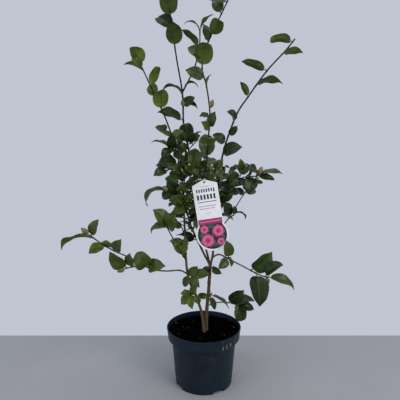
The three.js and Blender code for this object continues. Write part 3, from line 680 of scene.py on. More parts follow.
def blend(tree, share, low, high):
    """A colour between two, by a share that a node gives."""
    mixed = add(tree, "Mix", {"data_type": "RGBA"}, {0: share})
    feed(tree, mixed.inputs[6], low)
    feed(tree, mixed.inputs[7], high)
    return mixed.outputs[2]


def spread(tree, value, low, high, to_low=0.0, to_high=1.0):
    """A node's value, stretched from one range to another and held at its ends."""
    return add(tree, "MapRange", {"From Min": low, "From Max": high, "To Min": to_low,
                                  "To Max": to_high}, {"Value": value}).outputs["Result"]


def paint(tree, shader, pattern, low, high, dark, light):
    """The base colour: dark where a pattern is below low, light where it is above high."""
    share = spread(tree, pattern.outputs["Fac"], low, high)
    feed(tree, shader.inputs["Base Color"], blend(tree, share, dark, light))


def roughen(tree, shader, pattern, strength, depth_mm):
    bump = add(tree, "Bump", {"Strength": strength, "Distance": depth_mm * MM},
               {"Height": pattern.outputs["Fac"]})
    tree.links.new(bump.outputs["Normal"], shader.inputs["Normal"])


def cloudy(name, roughness, size_mm, dark, light):
    """A plain finish whose colour drifts between two that are close."""
    made, tree, shader = material(name, roughness)
    drift = noise_at(tree, size_mm).outputs["Fac"]
    feed(tree, shader.inputs["Base Color"], blend(tree, drift, dark, light))
    return made


# %% [markdown]
# A camellia leaf has a thick waxy skin. Its upper face is dark and glossy, with a sheen of the room
# in it; the underside has no gloss and is a paler, yellower green, and the midrib lies between.
# Young leaves are lighter. Each tint is a plain base colour, dealt out by spray and by age, over
# which a soft mottling and a fine leathery grain are laid.

# %% Leaf finishes
def leaf_skin(name, colour, roughness=0.5, coat=0.0, shine=0.2):
    made, tree, shader = material(name, roughness, 1.45, {
        "Coat Weight": coat, "Coat Roughness": 0.22, "Specular IOR Level": shine})
    paint(tree, shader, noise_at(tree, 14), 0.35, 0.65, darker(tree, colour, 0.62), colour)
    roughen(tree, shader, noise_at(tree, 1.6, 4), 0.35, 0.25)
    return made


# each tint's colour, roughness, share of clear coat and strength of shine
# the deep tint, face and underside, is dark enough to be painted shade on leaves in the crown's shadow,
# besides their own dark green
LEAF_SKINS = {tint: leaf_skin(f"waxy_leaf_{tint}", *look) for tint, look in {
    "deep": ("#21310f", 0.34, 0.05, 0.2), "full": ("#33471a", 0.36, 0.08, 0.26),
    "light": ("#46541e", 0.38, 0.07, 0.24), "young": ("#5c682a", 0.42, 0.05, 0.24)}.items()}
LEAF_BACKS = [leaf_skin(f"leaf_back_{tint}", colour, 0.62, shine=shine) for tint, colour, shine in (
    ("deep", "#445326", 0.16), ("full", "#54642b", 0.16), ("light", "#65752f", 0.14),
    ("young", "#76833a", 0.14))]
MIDRIB = leaf_skin("leaf_midrib", "#455922")
PETIOLE = leaf_skin("leaf_stalk", "#566026")
LEAF_SLOTS = [*LEAF_SKINS.values(), *LEAF_BACKS, MIDRIB, PETIOLE]
print(len(LEAF_SLOTS), "leaf finishes")

# %% [markdown]
# Camellia bark is thin and smooth. It is buff where the stem is old and purplish brown where it is
# young, with fine lengthwise wrinkles, so the colour is blended by height. The relief itself is in
# the mesh; the bump adds only the grain between.

# %% Bark finishes
def bark(name, low_colour, high_colour, low_mm, high_mm):
    made, tree, shader = material(name, 0.78, more={"Specular IOR Level": 0.22})
    place = add(tree, "NewGeometry")
    height = add(tree, "SeparateXYZ", links={"Vector": place.outputs["Position"]})
    share = spread(tree, height.outputs["Z"], low_mm * MM, high_mm * MM)
    aged = blend(tree, share, low_colour, high_colour)
    streaks = noise_at(tree, 1.6, 5, (1, 1, 9))
    paint(tree, shader, streaks, 0.36, 0.6, darker(tree, aged, 0.45), aged)
    roughen(tree, shader, streaks, 0.6, 0.5)
    return made


OLD_BARK = bark("camellia_bark", "#735e46", "#2f1d1b", 190, 600)
YOUNG_BARK = bark("young_twig_bark", "#35221c", "#261417", 250, 700)

# %% [markdown]
# A mesh is made in one place: points in millimetres become metres, each face gets its finish, the
# faces shade smooth, and edges that turn sharply stay crisp.

# %% Making a piece
def put_in_scene(name, data):
    made = bpy.data.objects.new(name, data)
    bpy.context.scene.collection.objects.link(made)
    return made


def make_piece(name, points, faces, finishes, slots=None, crisp=50):
    mesh = bpy.data.meshes.new(name)
    mesh.from_pydata((np.asarray(points) * MM).tolist(), [], faces)
    for finish in finishes:
        mesh.materials.append(finish)
    if slots is not None:
        mesh.polygons.foreach_set("material_index", np.asarray(slots, np.int32))
    mesh.polygons.foreach_set("use_smooth", np.ones(len(mesh.polygons), bool))
    if crisp:
        mesh.set_sharp_from_angle(angle=math.radians(crisp))
    mesh.update()
    return put_in_scene(name, mesh)


def stand_for(piece, slot, *nodes):
    """The piece rides on the plant's one body and is shown in place of these CAD nodes."""
    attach(piece, "root")
    if nodes:
        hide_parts(*nodes)


class Parts:
    """Gathers small closed meshes, to be joined into one piece."""

    def __init__(self):
        self.points, self.faces, self.slots, self.count = [], [], [], 0

    def take(self, points, faces, slots):
        self.points.append(points)
        self.faces.extend([[index + self.count for index in face] for face in faces])
        self.slots.extend(slots if hasattr(slots, "__len__") else [slots] * len(faces))
        self.count += len(points)

    def make(self, name, finishes, crisp=50):
        piece = make_piece(name, np.vstack(self.points), self.faces, finishes, self.slots, crisp)
        corners = sum(len(face) - 2 for face in self.faces)
        print(f"{name}: {len(self.faces)} faces, {corners} triangles")
        return piece


def rings_to_tube(rings, closed=False):
    """A closed skin over a row of equal rings, with a flat cap at each end unless it is a loop."""
    count, sides = len(rings), len(rings[0])
    spans = count if closed else count - 1
    faces = []
    for i in range(spans):
        here, there = i * sides, (i + 1) % count * sides
        for k in range(sides):
            k2 = (k + 1) % sides
            faces.append((here + k, here + k2, there + k2, there + k))
    if not closed:
        faces.append(tuple(range(sides - 1, -1, -1)))
        faces.append(tuple((count - 1) * sides + k for k in range(sides)))
    return np.vstack(rings), faces


# %% [markdown]
# Limbs and twigs are tubes along their routes. On the trunk and boughs, every ring is pushed in and
# out by noise that is drawn out along the stem, for wrinkles, and swells where a leaf once sat. A
# subdivided cylinder with a displacement would do the same, but the old leaf scars have to fall in
# the camellia's own spiral, a finger's width apart.

# %% Trunk and boughs
SCAR_SPACING, SCAR_WIDTH = 24, 2.4  # mm between old leaf scars, and along one
ROOTED = 6  # how far the stems go down into the compost
SWELL, KNOB, WRINKLE, GRAIN = 0.1, 0.22, 0.1, 0.05  # relief, as shares of the radius


def bark_rings(route, radius_at, sides, step, seed, relief=1.0):
    """Rings along a route, one each step in mm, with the bark's relief pressed into them."""
    points, _, sides_way, tops, shares = stations(route, max(3, round(route.length / step)))
    rings = []
    for point, side, top, share in zip(points, sides_way, tops, shares):
        at = share * route.length
        scar = round(at / SCAR_SPACING)
        on_scar = math.exp(-((at - scar * SCAR_SPACING) / SCAR_WIDTH) ** 2)
        knob_way = scar * math.radians(LEAF_TURN)
        radius = float(radius_at(share))
        ring = []
        for angle in around(sides):
            wrinkle = noise.noise(Vector((3.1 * math.cos(angle), 3.1 * math.sin(angle), at / 26 + seed)))
            grain = noise.noise(Vector((7 * math.cos(angle), 7 * math.sin(angle), at / 9 + 3 * seed)))
            knob = KNOB * on_scar * max(0, math.cos(angle - knob_way)) ** 3
            push = 1 + relief * (WRINKLE * wrinkle + GRAIN * grain + SWELL * on_scar + knob - 0.02)
            out = side * math.cos(angle) + top * math.sin(angle)
            ring.append(point + out * radius * push)
        rings.append(np.array(ring))
    return rings


for number, (name, (route, radius_at)) in enumerate(limbs.items()):
    points, faces = rings_to_tube(bark_rings(route, radius_at, 20, 2.5, number * 11.3))
    if route.at(0)[0, 2] < SOIL_TOP:
        points[:, 2] = np.maximum(points[:, 2], SOIL_TOP - ROOTED)
    stand_for(make_piece(f"{name}_bark", points, faces, [OLD_BARK], crisp=None), "bark", name)
    print(name, len(faces), "faces")

# %% [markdown]
# The twigs. The same tubes, thinner and smoother, with a swelling at each leaf. Beside every leaf
# stalk sits a small pointed bud, ready for next spring.

# %% Twigs
def twig_radius(twig):
    nodes = np.array([leaf["at"] for leaf, _ in twig["leaves"]])

    def radius_at(share):
        swell = 0.5 * np.exp(-(((share * twig["route"].length - nodes) / 2.2) ** 2)).sum()
        return twig["radius_at"](share) + 0.15 + min(swell, 0.6)

    return radius_at


wood = Parts()
for twig in twigs:
    rings = bark_rings(twig["route"], twig_radius(twig), 8, 4, twig["number"] * 3.7, 0.5)
    wood.take(*rings_to_tube(rings), 0)
stand_for(wood.make("leafy_twigs", [YOUNG_BARK], crisp=None), "bark")

# %% [markdown]
# A leaf blade is a grid over its midrib, seven strips wide, with an upper and a lower skin that
# meet at the rim. Its cross-section folds up from the midrib and rolls down again at the margins,
# which wave a little. The skin is quilted between the side veins, the rim has fine teeth, and the
# middle strip is the midrib: a groove above, and a rib that stands out below. One list of faces
# serves every leaf, since all have the same grid.

# %% The blade's grid
ROWS = 24
ACROSS = np.array([-1, -0.64, -0.3, -0.04, 0.04, 0.3, 0.64, 1])
COLUMNS = len(ACROSS)
LEAF_SKIN, LEAF_BACK, LEAF_RIB = 0, 1, 2


def blade_faces():
    """The faces of a blade's grid, and which skin each belongs to."""
    above, below, tip = 0, ROWS * COLUMNS, 2 * ROWS * COLUMNS
    faces, skins = [], []
    for i in range(ROWS - 1):
        for j in range(COLUMNS - 1):
            a, b = i * COLUMNS + j, (i + 1) * COLUMNS + j
            faces += [(above + a, above + b, above + b + 1, above + a + 1),
                      (below + a, below + a + 1, below + b + 1, below + b)]
            rib = j == COLUMNS // 2 - 1
            skins += [LEAF_RIB if rib else LEAF_SKIN, LEAF_RIB if rib else LEAF_BACK]
        for j, (first, second) in ((0, (1, 0)), (COLUMNS - 1, (0, 1))):
            a, b = (i + first) * COLUMNS + j, (i + second) * COLUMNS + j
            faces.append((above + a, above + b, below + b, below + a))
            skins.append(LEAF_BACK)
    for j in range(COLUMNS - 1):
        last = (ROWS - 1) * COLUMNS + j
        faces += [(above + j, above + j + 1, below + j + 1, below + j),
                  (above + last, tip, above + last + 1), (below + last + 1, tip, below + last)]
        skins += [LEAF_BACK, LEAF_SKIN, LEAF_BACK]
    last = (ROWS - 1) * COLUMNS
    end = last + COLUMNS - 1
    faces += [(tip, above + last, below + last), (tip, below + end, above + end)]
    skins += [LEAF_BACK, LEAF_BACK]
    return faces, np.array(skins)


BLADE_FULLNESS = 1.05  # a real blade is a little fuller than the plain one
BLADE_HALF_THICK, RIB_GROOVE = 0.22, 0.25
TOOTH = 0.014  # how far the rim steps in and out, as a share of the half width
SIDE_VEINS, QUILT = 7, 0.3  # pairs of veins, and how far the skin swells between them, in mm
BLADE_FACES, BLADE_SKINS = blade_faces()
BLADE_SHARES = np.linspace(0, 1, ROWS + 1)[:-1]
BLADE_SHARES -= 0.02 * np.sin(2 * math.pi * BLADE_SHARES)
print("one blade:", len(BLADE_FACES), "faces")


def blade_outline(share):
    """Half the width: fullest below the middle, and drawn in before the tip to a fine point."""
    drawn_in = np.clip((share - 0.74) / 0.2, 0, 1)
    return outline(share, 0.52, 0.86) * (1 - 0.28 * drawn_in**2 * (3 - 2 * drawn_in))


def blade_points(leaf, draw):
    """The grid's points for one leaf, in the order that its faces expect."""
    s = BLADE_SHARES[:, None]
    x = ACROSS[None]
    half = BLADE_FULLNESS * leaf.half * blade_outline(BLADE_SHARES)[:, None]
    half = np.maximum(half, 0.8) * (1 + TOOTH * (-1.0) ** np.arange(ROWS)[:, None])
    sway = mix(-0.07, 0.07, draw()) * leaf.size * s**2
    phase = 2 * math.pi * draw()
    wave = mix(0.02, 0.045, draw()) * leaf.size * np.sin(2 * math.pi * 1.6 * s + phase + 1.3 * x)
    fold = leaf.rise * half * (np.abs(x) - 0.3 * x**2) * 1.25
    droop = mix(0.03, 0.09, draw()) * leaf.size * np.clip((s - 0.7) / 0.3, 0, 1) ** 2
    quilt = QUILT * np.cos(2 * math.pi * SIDE_VEINS * (s - 0.22 * np.abs(x))) * np.sin(math.pi * np.abs(x))
    height = fold + wave * x**2 * np.sin(math.pi * s) + quilt - droop
    rib = np.abs(x) < 0.1
    above = height + BLADE_HALF_THICK - RIB_GROOVE * rib
    below = height - BLADE_HALF_THICK - np.where(rib, mix(1.0, 0.3, s), 0)
    middle = leaf.midrib(BLADE_SHARES)
    _, lift = leaf.turned(BLADE_SHARES)
    flat = middle[:, None] + leaf.side * (x * half + sway)[..., None]
    sheets = [flat + lift[:, None] * level[..., None] for level in (above, below)]
    tip = leaf.midrib(np.array([1.0])) + leaf.side * sway[-1, 0] - lift[-1:] * droop[-1, 0] * 1.1
    return np.vstack([sheet.reshape(-1, 3) for sheet in sheets] + [tip])


def stalk_tube(leaf):
    """A leaf's stalk: a short tube from inside the twig to just inside the blade."""
    heading = unit(leaf.start - leaf.foot)
    top = np.cross(leaf.side, heading)
    sag = leaf.foot + 0.55 * (leaf.start - leaf.foot) - 0.5 * top
    spots = [(leaf.foot, 1.25), (sag, 0.95), (leaf.start + heading * 2.5, 0.8)]
    return rings_to_tube([circle(spot, leaf.side, top, radius, 6) for spot, radius in spots])


# %% [markdown]
# Tints are dealt by spray, partly for the leaves' own colour and partly as painted light and shade: sprays
# that lie in the crown's shadow take the deep tint as painted shade, and some lit ones take the lighter
# tints as painted light. The leaf nearest each twig's tip, and about one in seven of the rest, is a tint
# younger. The leaves are joined into one piece for each part of the crown.

# %% All the leaves
TINTS = list(LEAF_SKINS)
DEEP, FULL, LIGHT, YOUNG = range(len(TINTS))
# each spray's tint is matched to how dark its part of the crown looks: deep is partly painted shade, light
# and young are partly painted light
SPRAY_TINTS = {
    DEEP: "right_low_tip low_back right_inner_tip middle_upper right_side_middle right_side_low "
          "left_cluster_low left_cluster_high middle_top foot_right left_upper_side right_side_tip "
          "right_high",
    FULL: "right_top middle_low",
    LIGHT: "left_top left_low_tip left_low_under left_low_middle left_side inner_side foot_middle "
           "foot_inner right_low_middle left_front",
    YOUNG: "inner_top foot_left right_cluster",
}
CROWN = {"left_stem": "left", "left_low_bough": "left", "middle_leader": "middle",
         "inner_bough": "middle", "main_stem": "middle"}  # the other limbs carry the right side
YOUNG_ZONE, YOUNG_SHARE = ((-85, -15), (400, 530)), 0.6  # mm across and up: over the left stem
# painted light: spurs below this height take the light tint in place of the shade that they sit in
LOW_SPURS = 430  # mm: the light falls on all spurs below this height


def crown_part(limb):
    return CROWN.get(limb, "right")


def spray_tint(name, draw):
    """A spray's tint: its own, or a dealt one. Each spray takes one number, so the deal stays put."""
    chance = draw()
    for tint, sprays in SPRAY_TINTS.items():
        if name in sprays.split():
            return tint
    return DEEP if chance < 0.45 else FULL if chance < 0.75 else LIGHT


def spur_tint(leaf, draw):
    """Inside the crown, over the left stem, some spurs are this year's and still yellow-green. Below a set
    height every spur takes the light tint, as painted light.
    """
    (left, right), (low, high) = YOUNG_ZONE
    x, _, z = leaf.start
    if left < x < right and low < z < high and draw() < YOUNG_SHARE:
        return YOUNG
    # painted light: every spur below this height takes the light tint
    if z < LOW_SPURS:
        return LIGHT
    return DEEP if draw() < 0.15 else FULL if draw() < 0.45 else LIGHT


look = seeded(77)
foliage = {part: Parts() for part in ("left", "middle", "right")}
tints = {name: spray_tint(name, look) for name in SPRAYS}
for twig in twigs:
    on = SPRAYS[twig["spray"]]["on"] if twig["spray"] in SPRAYS else twig["spray"]
    parts = foliage[crown_part(on)]
    for i, leaf in enumerate(twig["shapes"]):
        tint = tints[twig["spray"]] if twig["spray"] in tints else spur_tint(leaf, look)
        if tint < LIGHT and (i == len(twig["shapes"]) - 1 or look() < 0.15):
            tint += 1
        skins = np.choose(BLADE_SKINS, [tint, tint + len(TINTS), LEAF_SLOTS.index(MIDRIB)])
        parts.take(blade_points(leaf, look), BLADE_FACES, skins.tolist())
        parts.take(*stalk_tube(leaf), LEAF_SLOTS.index(PETIOLE))
for part, parts in foliage.items():
    nodes = [f"{name}_leaves" for name, spray in SPRAYS.items() if crown_part(spray["on"]) == part]
    stand_for(parts.make(f"leaves_{part}", LEAF_SLOTS, crisp=40), "leaf", *nodes)

# %% [markdown]
# ## Buds
# A camellia sets fat pointed flower buds in overlapping scales at its twig tips. One is a turned
# shape whose skin steps outwards along a spiral, like the scales of a cone. The small growth buds
# beside each leaf stalk are the same shape, slim and green.

# %% Buds
def bud_skin(name, colour, edge_colour):
    made, tree, shader = material(name, 0.55, 1.45)
    mottle = noise_at(tree, 2.5, 4)
    paint(tree, shader, mottle, 0.4, 0.62, edge_colour, colour)
    roughen(tree, shader, mottle, 0.4, 0.3)
    return made


BUD_SKINS = [bud_skin("bud_scales_green", "#868c5e", "#4f5830"),
             bud_skin("bud_scales_tan", "#8f8058", "#554a2b"),
             bud_skin("growth_bud_scales", "#6d7440", "#4f5630")]
GREEN, TAN, GROWTH = range(3)
TAN_FROM = 11  # a flower bud wider than this has turned tan
BUD_WIDTH, BUD_LENGTH = 0.94, 1.5  # over the size that its word gives
SCALE_STEP = 0.24  # how far the skin falls from one scale's edge to the next, as a share


def bud_mesh(foot, out, width, length, scales, sides, rows):
    """A pointed bud, turned round its axis, with its scales as a stepped spiral."""
    side = unit(np.cross(out, [0.31, 0.47, 0.83]))
    top = np.cross(out, side)
    rings = []
    for i in range(rows + 1):
        share = i / rows
        swell = math.sin(math.pi * share**0.72) ** 0.8 if 0 < share < 1 else 0
        step = (scales * share + np.arange(sides) / sides * 2) % 1
        radius = np.maximum(0.5 * width * swell * (1.06 - SCALE_STEP * step), 0.05)[:, None]
        rings.append(circle(foot + out * length * share, side, top, radius, sides))
    return rings_to_tube(rings)


buds = Parts()
for twig in twigs:
    route = twig["route"]
    for bud in twig["buds"]:
        share = min(bud["at"] / route.length, 1)
        out = pointing(bud["wind"], STEP_LEAN * bud["lean"])
        foot = route.at(share)[0] + out * (twig["radius_at"](share) - 0.4)
        mesh = bud_mesh(foot, out, bud["size"] * BUD_WIDTH, bud["size"] * BUD_LENGTH, 4, 14, 22)
        buds.take(*mesh, TAN if bud["size"] > TAN_FROM else GREEN)
    for leaf in twig["shapes"]:
        heading = unit(leaf.start - leaf.foot)
        out = unit(heading * 0.7 + UP * 0.6)
        buds.take(*bud_mesh(leaf.foot + heading * 1.2, out, 2.6, 6.0, 3, 7, 7), GROWTH)
stand_for(buds.make("buds", BUD_SKINS, crisp=None), "leaf")

# %% [markdown]
# ## The pot
# A nursery pot is injection-moulded polypropylene, thin-walled and a dark blue-grey. It has a tall
# collar for stacking, a slope in to the tapered body, and a foot with recesses where water runs
# out. It is turned from its section, like a vase, and the recesses are pushed into the foot. The
# drain holes are cut by a Boolean, since they cross the grid.

# %% Pot finish
# the scuff on the collar: along each axis, the mm where it starts and is full, and its share there
SCUFF = {"Z": (118, 124, 1), "X": (28, 48, 0.7), "Y": (-15, -40, 1)}


def pot_plastic():
    made, tree, shader = material("moulded_polypropylene", 0.42, 1.49, {"Specular IOR Level": 0.28})
    haze = noise_at(tree, 34, 4)
    dust = noise_at(tree, 5, 6, (1, 1, 5))
    dusty = blend(tree, spread(tree, haze.outputs["Fac"], 0.4, 0.75), "#0a1824", "#112331")
    hazed = blend(tree, spread(tree, dust.outputs["Fac"], 0.6, 0.8, 0, 0.12), dusty, "#7d868e")
    place = add(tree, "SeparateXYZ", links={"Vector": add(tree, "NewGeometry").outputs["Position"]})
    shares = [spread(tree, place.outputs[axis], start * MM, full * MM, 0, most)
              for axis, (start, full, most) in SCUFF.items()]
    shares.append(spread(tree, noise_at(tree, 4, 2, (1, 1, 7)).outputs["Fac"], 0.61, 0.68))
    scrape = shares[0]
    for share in shares[1:]:
        scrape = add(tree, "Math", {"operation": "MULTIPLY"}, {0: share, 1: scrape}).outputs["Value"]
    feed(tree, shader.inputs["Base Color"], blend(tree, scrape, hazed, "#a9b0b4"))
    tree.links.new(spread(tree, haze.outputs["Fac"], 0.3, 0.7, 0.38, 0.56), shader.inputs["Roughness"])
    roughen(tree, shader, dust, 0.25, 0.3)
    return made


POT_PLASTIC = pot_plastic()

# %% Pot
POT_COLUMNS = 240
RECESSES, RECESS_TURN = 4, 30  # how many there are, and the first one's bearing in degrees
RECESS_WIDTH, RECESS_HEIGHT = 27, 7
FOOT_RADIUS = 73  # where the recesses' width is measured
RECESS_INNER = 60  # how far in towards the pot's middle a recess reaches
DRAIN_RADIUS, DRAIN_CIRCLE = 5, 33.3
POT_SECTION = [  # radius and height, from the underside's centre out, up, over the rim and down inside
    (0, 0), (30, 0), (50, 0), (59.5, 0), (60.5, 0), (71.8, 0), (72.7, 0.3), (73.1, 1), (73.5, 6.4),
    (73.6, 7.2), (74.2, 14), (77, 50), (80, 90), (81.8, 114), (82.2, 116.6), (83.6, 119), (90.5, 123.6),
    (91.8, 124.8), (92.3, 127), (93.6, 140), (94.3, 148.5), (95.0, 149.2), (95.2, 151.4), (94.8, 152.8),
    (94.0, 153.1), (93.2, 152.8), (92.8, 151.6), (91.9, 140), (90.5, 127), (89.6, 125.4), (82, 120.6),
    (80.4, 118.4), (80, 116), (72.4, 14), (71.8, 7), (70.8, 4.2), (69, 3), (40, 3), (0, 3),
]


def in_recess(angle):
    """Whether a bearing lies in one of the foot's recesses."""
    pitch = 360 / RECESSES
    off = (np.degrees(angle) + 90 - RECESS_TURN + pitch / 2) % pitch - pitch / 2
    return np.abs(off) < math.degrees(RECESS_WIDTH / 2 / FOOT_RADIUS)


rings = []
for radius, height in POT_SECTION:
    ring = circle(height * UP, RIGHT, BACK, max(radius, 0.01), POT_COLUMNS)
    if height < RECESS_HEIGHT and radius > RECESS_INNER:
        ring[in_recess(around(POT_COLUMNS)), 2] = RECESS_HEIGHT + 0.2
    rings.append(ring)
pot = make_piece("nursery_pot", *rings_to_tube(rings), [POT_PLASTIC], crisp=35)
drills = Parts()
for i in range(RECESSES):
    turn = math.radians(RECESS_TURN - 45 + 90 * i)
    middle = DRAIN_CIRCLE * (RIGHT * math.cos(turn) + BACK * math.sin(turn))
    ends = [circle(middle + z * UP, RIGHT, BACK, DRAIN_RADIUS, 32) for z in (-3, 6)]
    drills.take(*rings_to_tube(ends), 0)
drill = drills.make("drain_drills", [POT_PLASTIC], crisp=35)
cut = pot.modifiers.new("drain_holes", "BOOLEAN")
cut.operation, cut.solver, cut.object = "DIFFERENCE", "EXACT", drill
fresh = bpy.data.meshes.new_from_object(pot.evaluated_get(bpy.context.evaluated_depsgraph_get()))
pot.modifiers.clear()
pot.data = fresh
bpy.data.objects.remove(drill)
stand_for(pot, "pot", "pot")
print("pot:", len(fresh.polygons), "faces")

# %% [markdown]
# ## The compost
# Potting compost is damp peat and bark: nearly black, with crumbs and a few ginger scraps of bark.
# A bumpy disc carries the surface, and loose crumbs are strewn over it.

# %% Compost
def peat(name, colour, light_colour):
    made, tree, shader = material(name, 0.95, more={"Specular IOR Level": 0.01})
    clods = noise_at(tree, 4, 6)
    paint(tree, shader, clods, 0.4, 0.7, colour, light_colour)
    roughen(tree, shader, clods, 0.9, 1.5)
    return made


PEAT = peat("damp_peat", "#020100", "#070403")
BARK_CHIP = peat("bark_chips", "#33241c", "#5e4c41")
SOIL_RINGS, SOIL_COLUMNS = 46, 150
SOIL_RADIUS = 91.2
SOIL_FOOT, SOIL_FOOT_RADIUS = 110, 79  # the filling is closed below the surface, out of sight


def soil_level(x, y):
    broad = noise.noise(Vector((x / 24, y / 24, 4.2)))
    clods = noise.fractal(Vector((x / 6, y / 6, 9.1)), 0.9, 2.1, 4)
    return SOIL_TOP - 1 + 1.6 * broad + 1.5 * clods


rings = [circle(SOIL_FOOT * UP, RIGHT, BACK, r, SOIL_COLUMNS) for r in (0.02, SOIL_FOOT_RADIUS)]
for i in range(SOIL_RINGS + 1):
    ring = circle(0, RIGHT, BACK, SOIL_RADIUS * (1 - i / SOIL_RINGS) + 0.02, SOIL_COLUMNS)
    ring[:, 2] = [soil_level(x, y) for x, y, _ in ring]
    rings.append(ring)
stand_for(make_piece("compost", *rings_to_tube(rings), [PEAT], crisp=None), "soil", "soil")

CRUMBS, STREW_RADIUS, CHIP_SHARE = 1500, 89, 0.015
BIG_CHIPS = [(-74, 41, 5.5), (-54, 17, 3), (-63, -23, 3.4), (79, 12, 4.2), (-30, 52, 2.6),
             (52, -28, 2.8)]  # where each lies, and its size
CRUMB = np.vstack([RIGHT, -RIGHT, BACK, -BACK, UP, -UP])
CRUMB_FACES = [(0, 2, 4), (2, 1, 4), (1, 3, 4), (3, 0, 4), (2, 0, 5), (1, 2, 5), (3, 1, 5), (0, 3, 5)]
strew = seeded(5)
crumbs = Parts()
for i in range(CRUMBS):
    radius, angle = STREW_RADIUS * math.sqrt(strew()), 2 * math.pi * strew()
    x, y = radius * math.cos(angle), radius * math.sin(angle)
    size = mix(0.7, 2.4, strew() ** 2)
    chip = strew() < CHIP_SHARE
    if i < len(BIG_CHIPS):
        x, y, size, chip = *BIG_CHIPS[i], True
    shape = CRUMB * (size * mix(0.7, 2.2, strew()), size * mix(0.6, 1.2, strew()), size * 0.7)
    turn = np.array(Euler((mix(-0.6, 0.6, strew()), mix(-0.6, 0.6, strew()), 6.3 * strew())).to_matrix())
    crumbs.take(shape @ turn.T + (x, y, soil_level(x, y) + 0.2 * size), CRUMB_FACES, int(chip))
stand_for(crumbs.make("compost_crumbs", [PEAT, BARK_CHIP], crisp=None), "soil")

# %% [markdown]
# ## The label
# The label is a stiff printed plastic card, die-cut with a roof at the top and a round end. Its
# print is made of flat shapes: the outlines are laid over each other and cut into one sheet by a
# constrained triangulation, and each face takes the ink of the topmost shape that holds it, so the
# print has crisp edges with no image. The design is a plain one of its own: ruled bars, a band, and
# four simple blossoms among leaves.

# %% Label inks
def ink(name, colour):
    made, tree, shader = material(name, 0.3, more={"Coat Weight": 0.3, "Coat Roughness": 0.15})
    paint(tree, shader, noise_at(tree, 9, 5), 0.35, 0.65, darker(tree, colour, 0.9), colour)
    return made


INKS = {part: ink(name, colour) for part, name, colour in (
    ("card", "label_card", "#f4f4f6"), ("black", "ink_black", "#15181c"),
    ("rule", "ink_rose_grey", "#c98aa6"), ("band", "ink_magenta", "#a92c66"),
    ("pale", "ink_pale_rose", "#d98ab0"), ("dark", "ink_deep_green", "#1d2c28"),
    ("leaf", "ink_leaf_green", "#38604f"), ("petal", "ink_petal_rose", "#c8487c"),
    ("petal_light", "ink_petal_light", "#de7aa3"), ("heart", "ink_heart", "#a12857"))}
INK_NAMES = list(INKS)

# %% Label print
def ring_of(centre, radius, count, start=0.0, end=2 * math.pi):
    """A flat circle or an arc of one; a radius for each point gives another round shape."""
    turn = np.linspace(start, end, count, endpoint=end - start < 2 * math.pi - 1e-6)
    return np.stack([centre[0] + radius * np.cos(turn), centre[1] + radius * np.sin(turn)], 1)


def label_outline():
    """The card's edge: the round end, then the shoulders and the roof over the hole."""
    half = LABEL_WIDTH / 2
    neck = math.asin(half / DISC_RADIUS)
    end = ring_of((0, -LABEL_DISC), DISC_RADIUS, 90, math.pi / 2 + neck, 2.5 * math.pi - neck)
    roof = [(half, -LABEL_SHOULDER - 1.5), (half - 1.2, -LABEL_SHOULDER + 0.4), (2.0, LABEL_PEAK - 0.4),
            (0, LABEL_PEAK), (-2.0, LABEL_PEAK - 0.4), (1.2 - half, -LABEL_SHOULDER + 0.4),
            (-half, -LABEL_SHOULDER - 1.5)]
    return np.vstack([end, roof])


def bar(left, right, top, bottom):
    """A plain rectangle, by its edges in mm from the label's hole."""
    return np.array([(left, top), (left, bottom), (right, bottom), (right, top)], float)


def blossom(centre, size, petals, turn):
    """A flower of round petals: its outline is a circle that swells once for each petal."""
    radius = size * (0.82 + 0.18 * np.abs(np.cos(petals / 2 * (around(96) + turn))) ** 0.6)
    return ring_of(centre, radius, 96)


def printed_leaf(centre, length, turn):
    """A leaf's outline, pointed at both ends and turned by so many radians."""
    share = np.linspace(0, 1, 24)
    half = 0.2 * length * np.sin(math.pi * share)
    upper = np.stack([share * length - length / 2, half], 1)
    lower = np.stack([share[-2:0:-1] * length - length / 2, -half[-2:0:-1]], 1)
    spin = np.array([[math.cos(turn), math.sin(turn)], [-math.sin(turn), math.cos(turn)]])
    return np.vstack([upper, lower]) @ spin + centre


PICTURE_RADIUS, PICTURE_RISE = DISC_RADIUS - 4, 19  # the arc ends this far above its centre
PICTURE_HALF, PICTURE_TOP = 26.5, 9  # half its width over the arc, and its top below the band's
BAND_TOP, BAND_HEIGHT = -LABEL_DISC + 39, 13
rise = math.asin(PICTURE_RISE / PICTURE_RADIUS)
arc = ring_of((0, -LABEL_DISC), PICTURE_RADIUS, 90, math.pi - rise, 2 * math.pi + rise)
over_arc = bar(PICTURE_HALF, -PICTURE_HALF, BAND_TOP - BAND_HEIGHT, BAND_TOP - PICTURE_TOP)
picture = np.vstack([arc, over_arc])


def flower(centre, size, petals, turn):
    """One printed flower, from its outer petals in to its heart."""
    layers = [("petal", 1.0, 0), ("petal_light", 0.74, 0.4), ("petal", 0.5, 0.9), ("heart", 0.24, 0.2)]
    return [(colour, blossom(centre, size * part, petals, turn + more)) for colour, part, more in layers]


PRINT = [
    ("rule", bar(-13, 10, -9.5, -10.8)),
    *[("black", bar(x, x + 3.2, -15.5, -23.5)) for x in np.linspace(-22.5, 18, 8)],
    *[("black", bar(x, x + 4.6, -29, -41)) for x in np.linspace(-22.5, 16.6, 6)],
    ("black", bar(-23, 22, -46, -47.6)),
    ("rule", bar(-22, 20, -56, -57.8)), ("rule", bar(-20, 17, -62, -63.8)),
    ("rule", bar(-8, 6, -74, -75)),
    ("dark", picture),
    ("band", bar(-28.5, 28.5, BAND_TOP, BAND_TOP - BAND_HEIGHT)),
    ("pale", bar(-25, 25, BAND_TOP - 5.5, BAND_TOP - 7.5)),
    ("leaf", printed_leaf((-22, -122), 22, 0.7)), ("leaf", printed_leaf((3, -150), 24, 2.9)),
    ("leaf", printed_leaf((25, -132), 18, 1.9)), ("leaf", printed_leaf((-2, -106.5), 20, 0.2)),
    *flower((-12.5, -140), 16.5, 7, 0.3), *flower((15.5, -119.5), 15, 7, 1.1),
    *flower((18.5, -146), 9.5, 6, 0.0), *flower((-17, -112.5), 10.5, 6, 0.5),
]


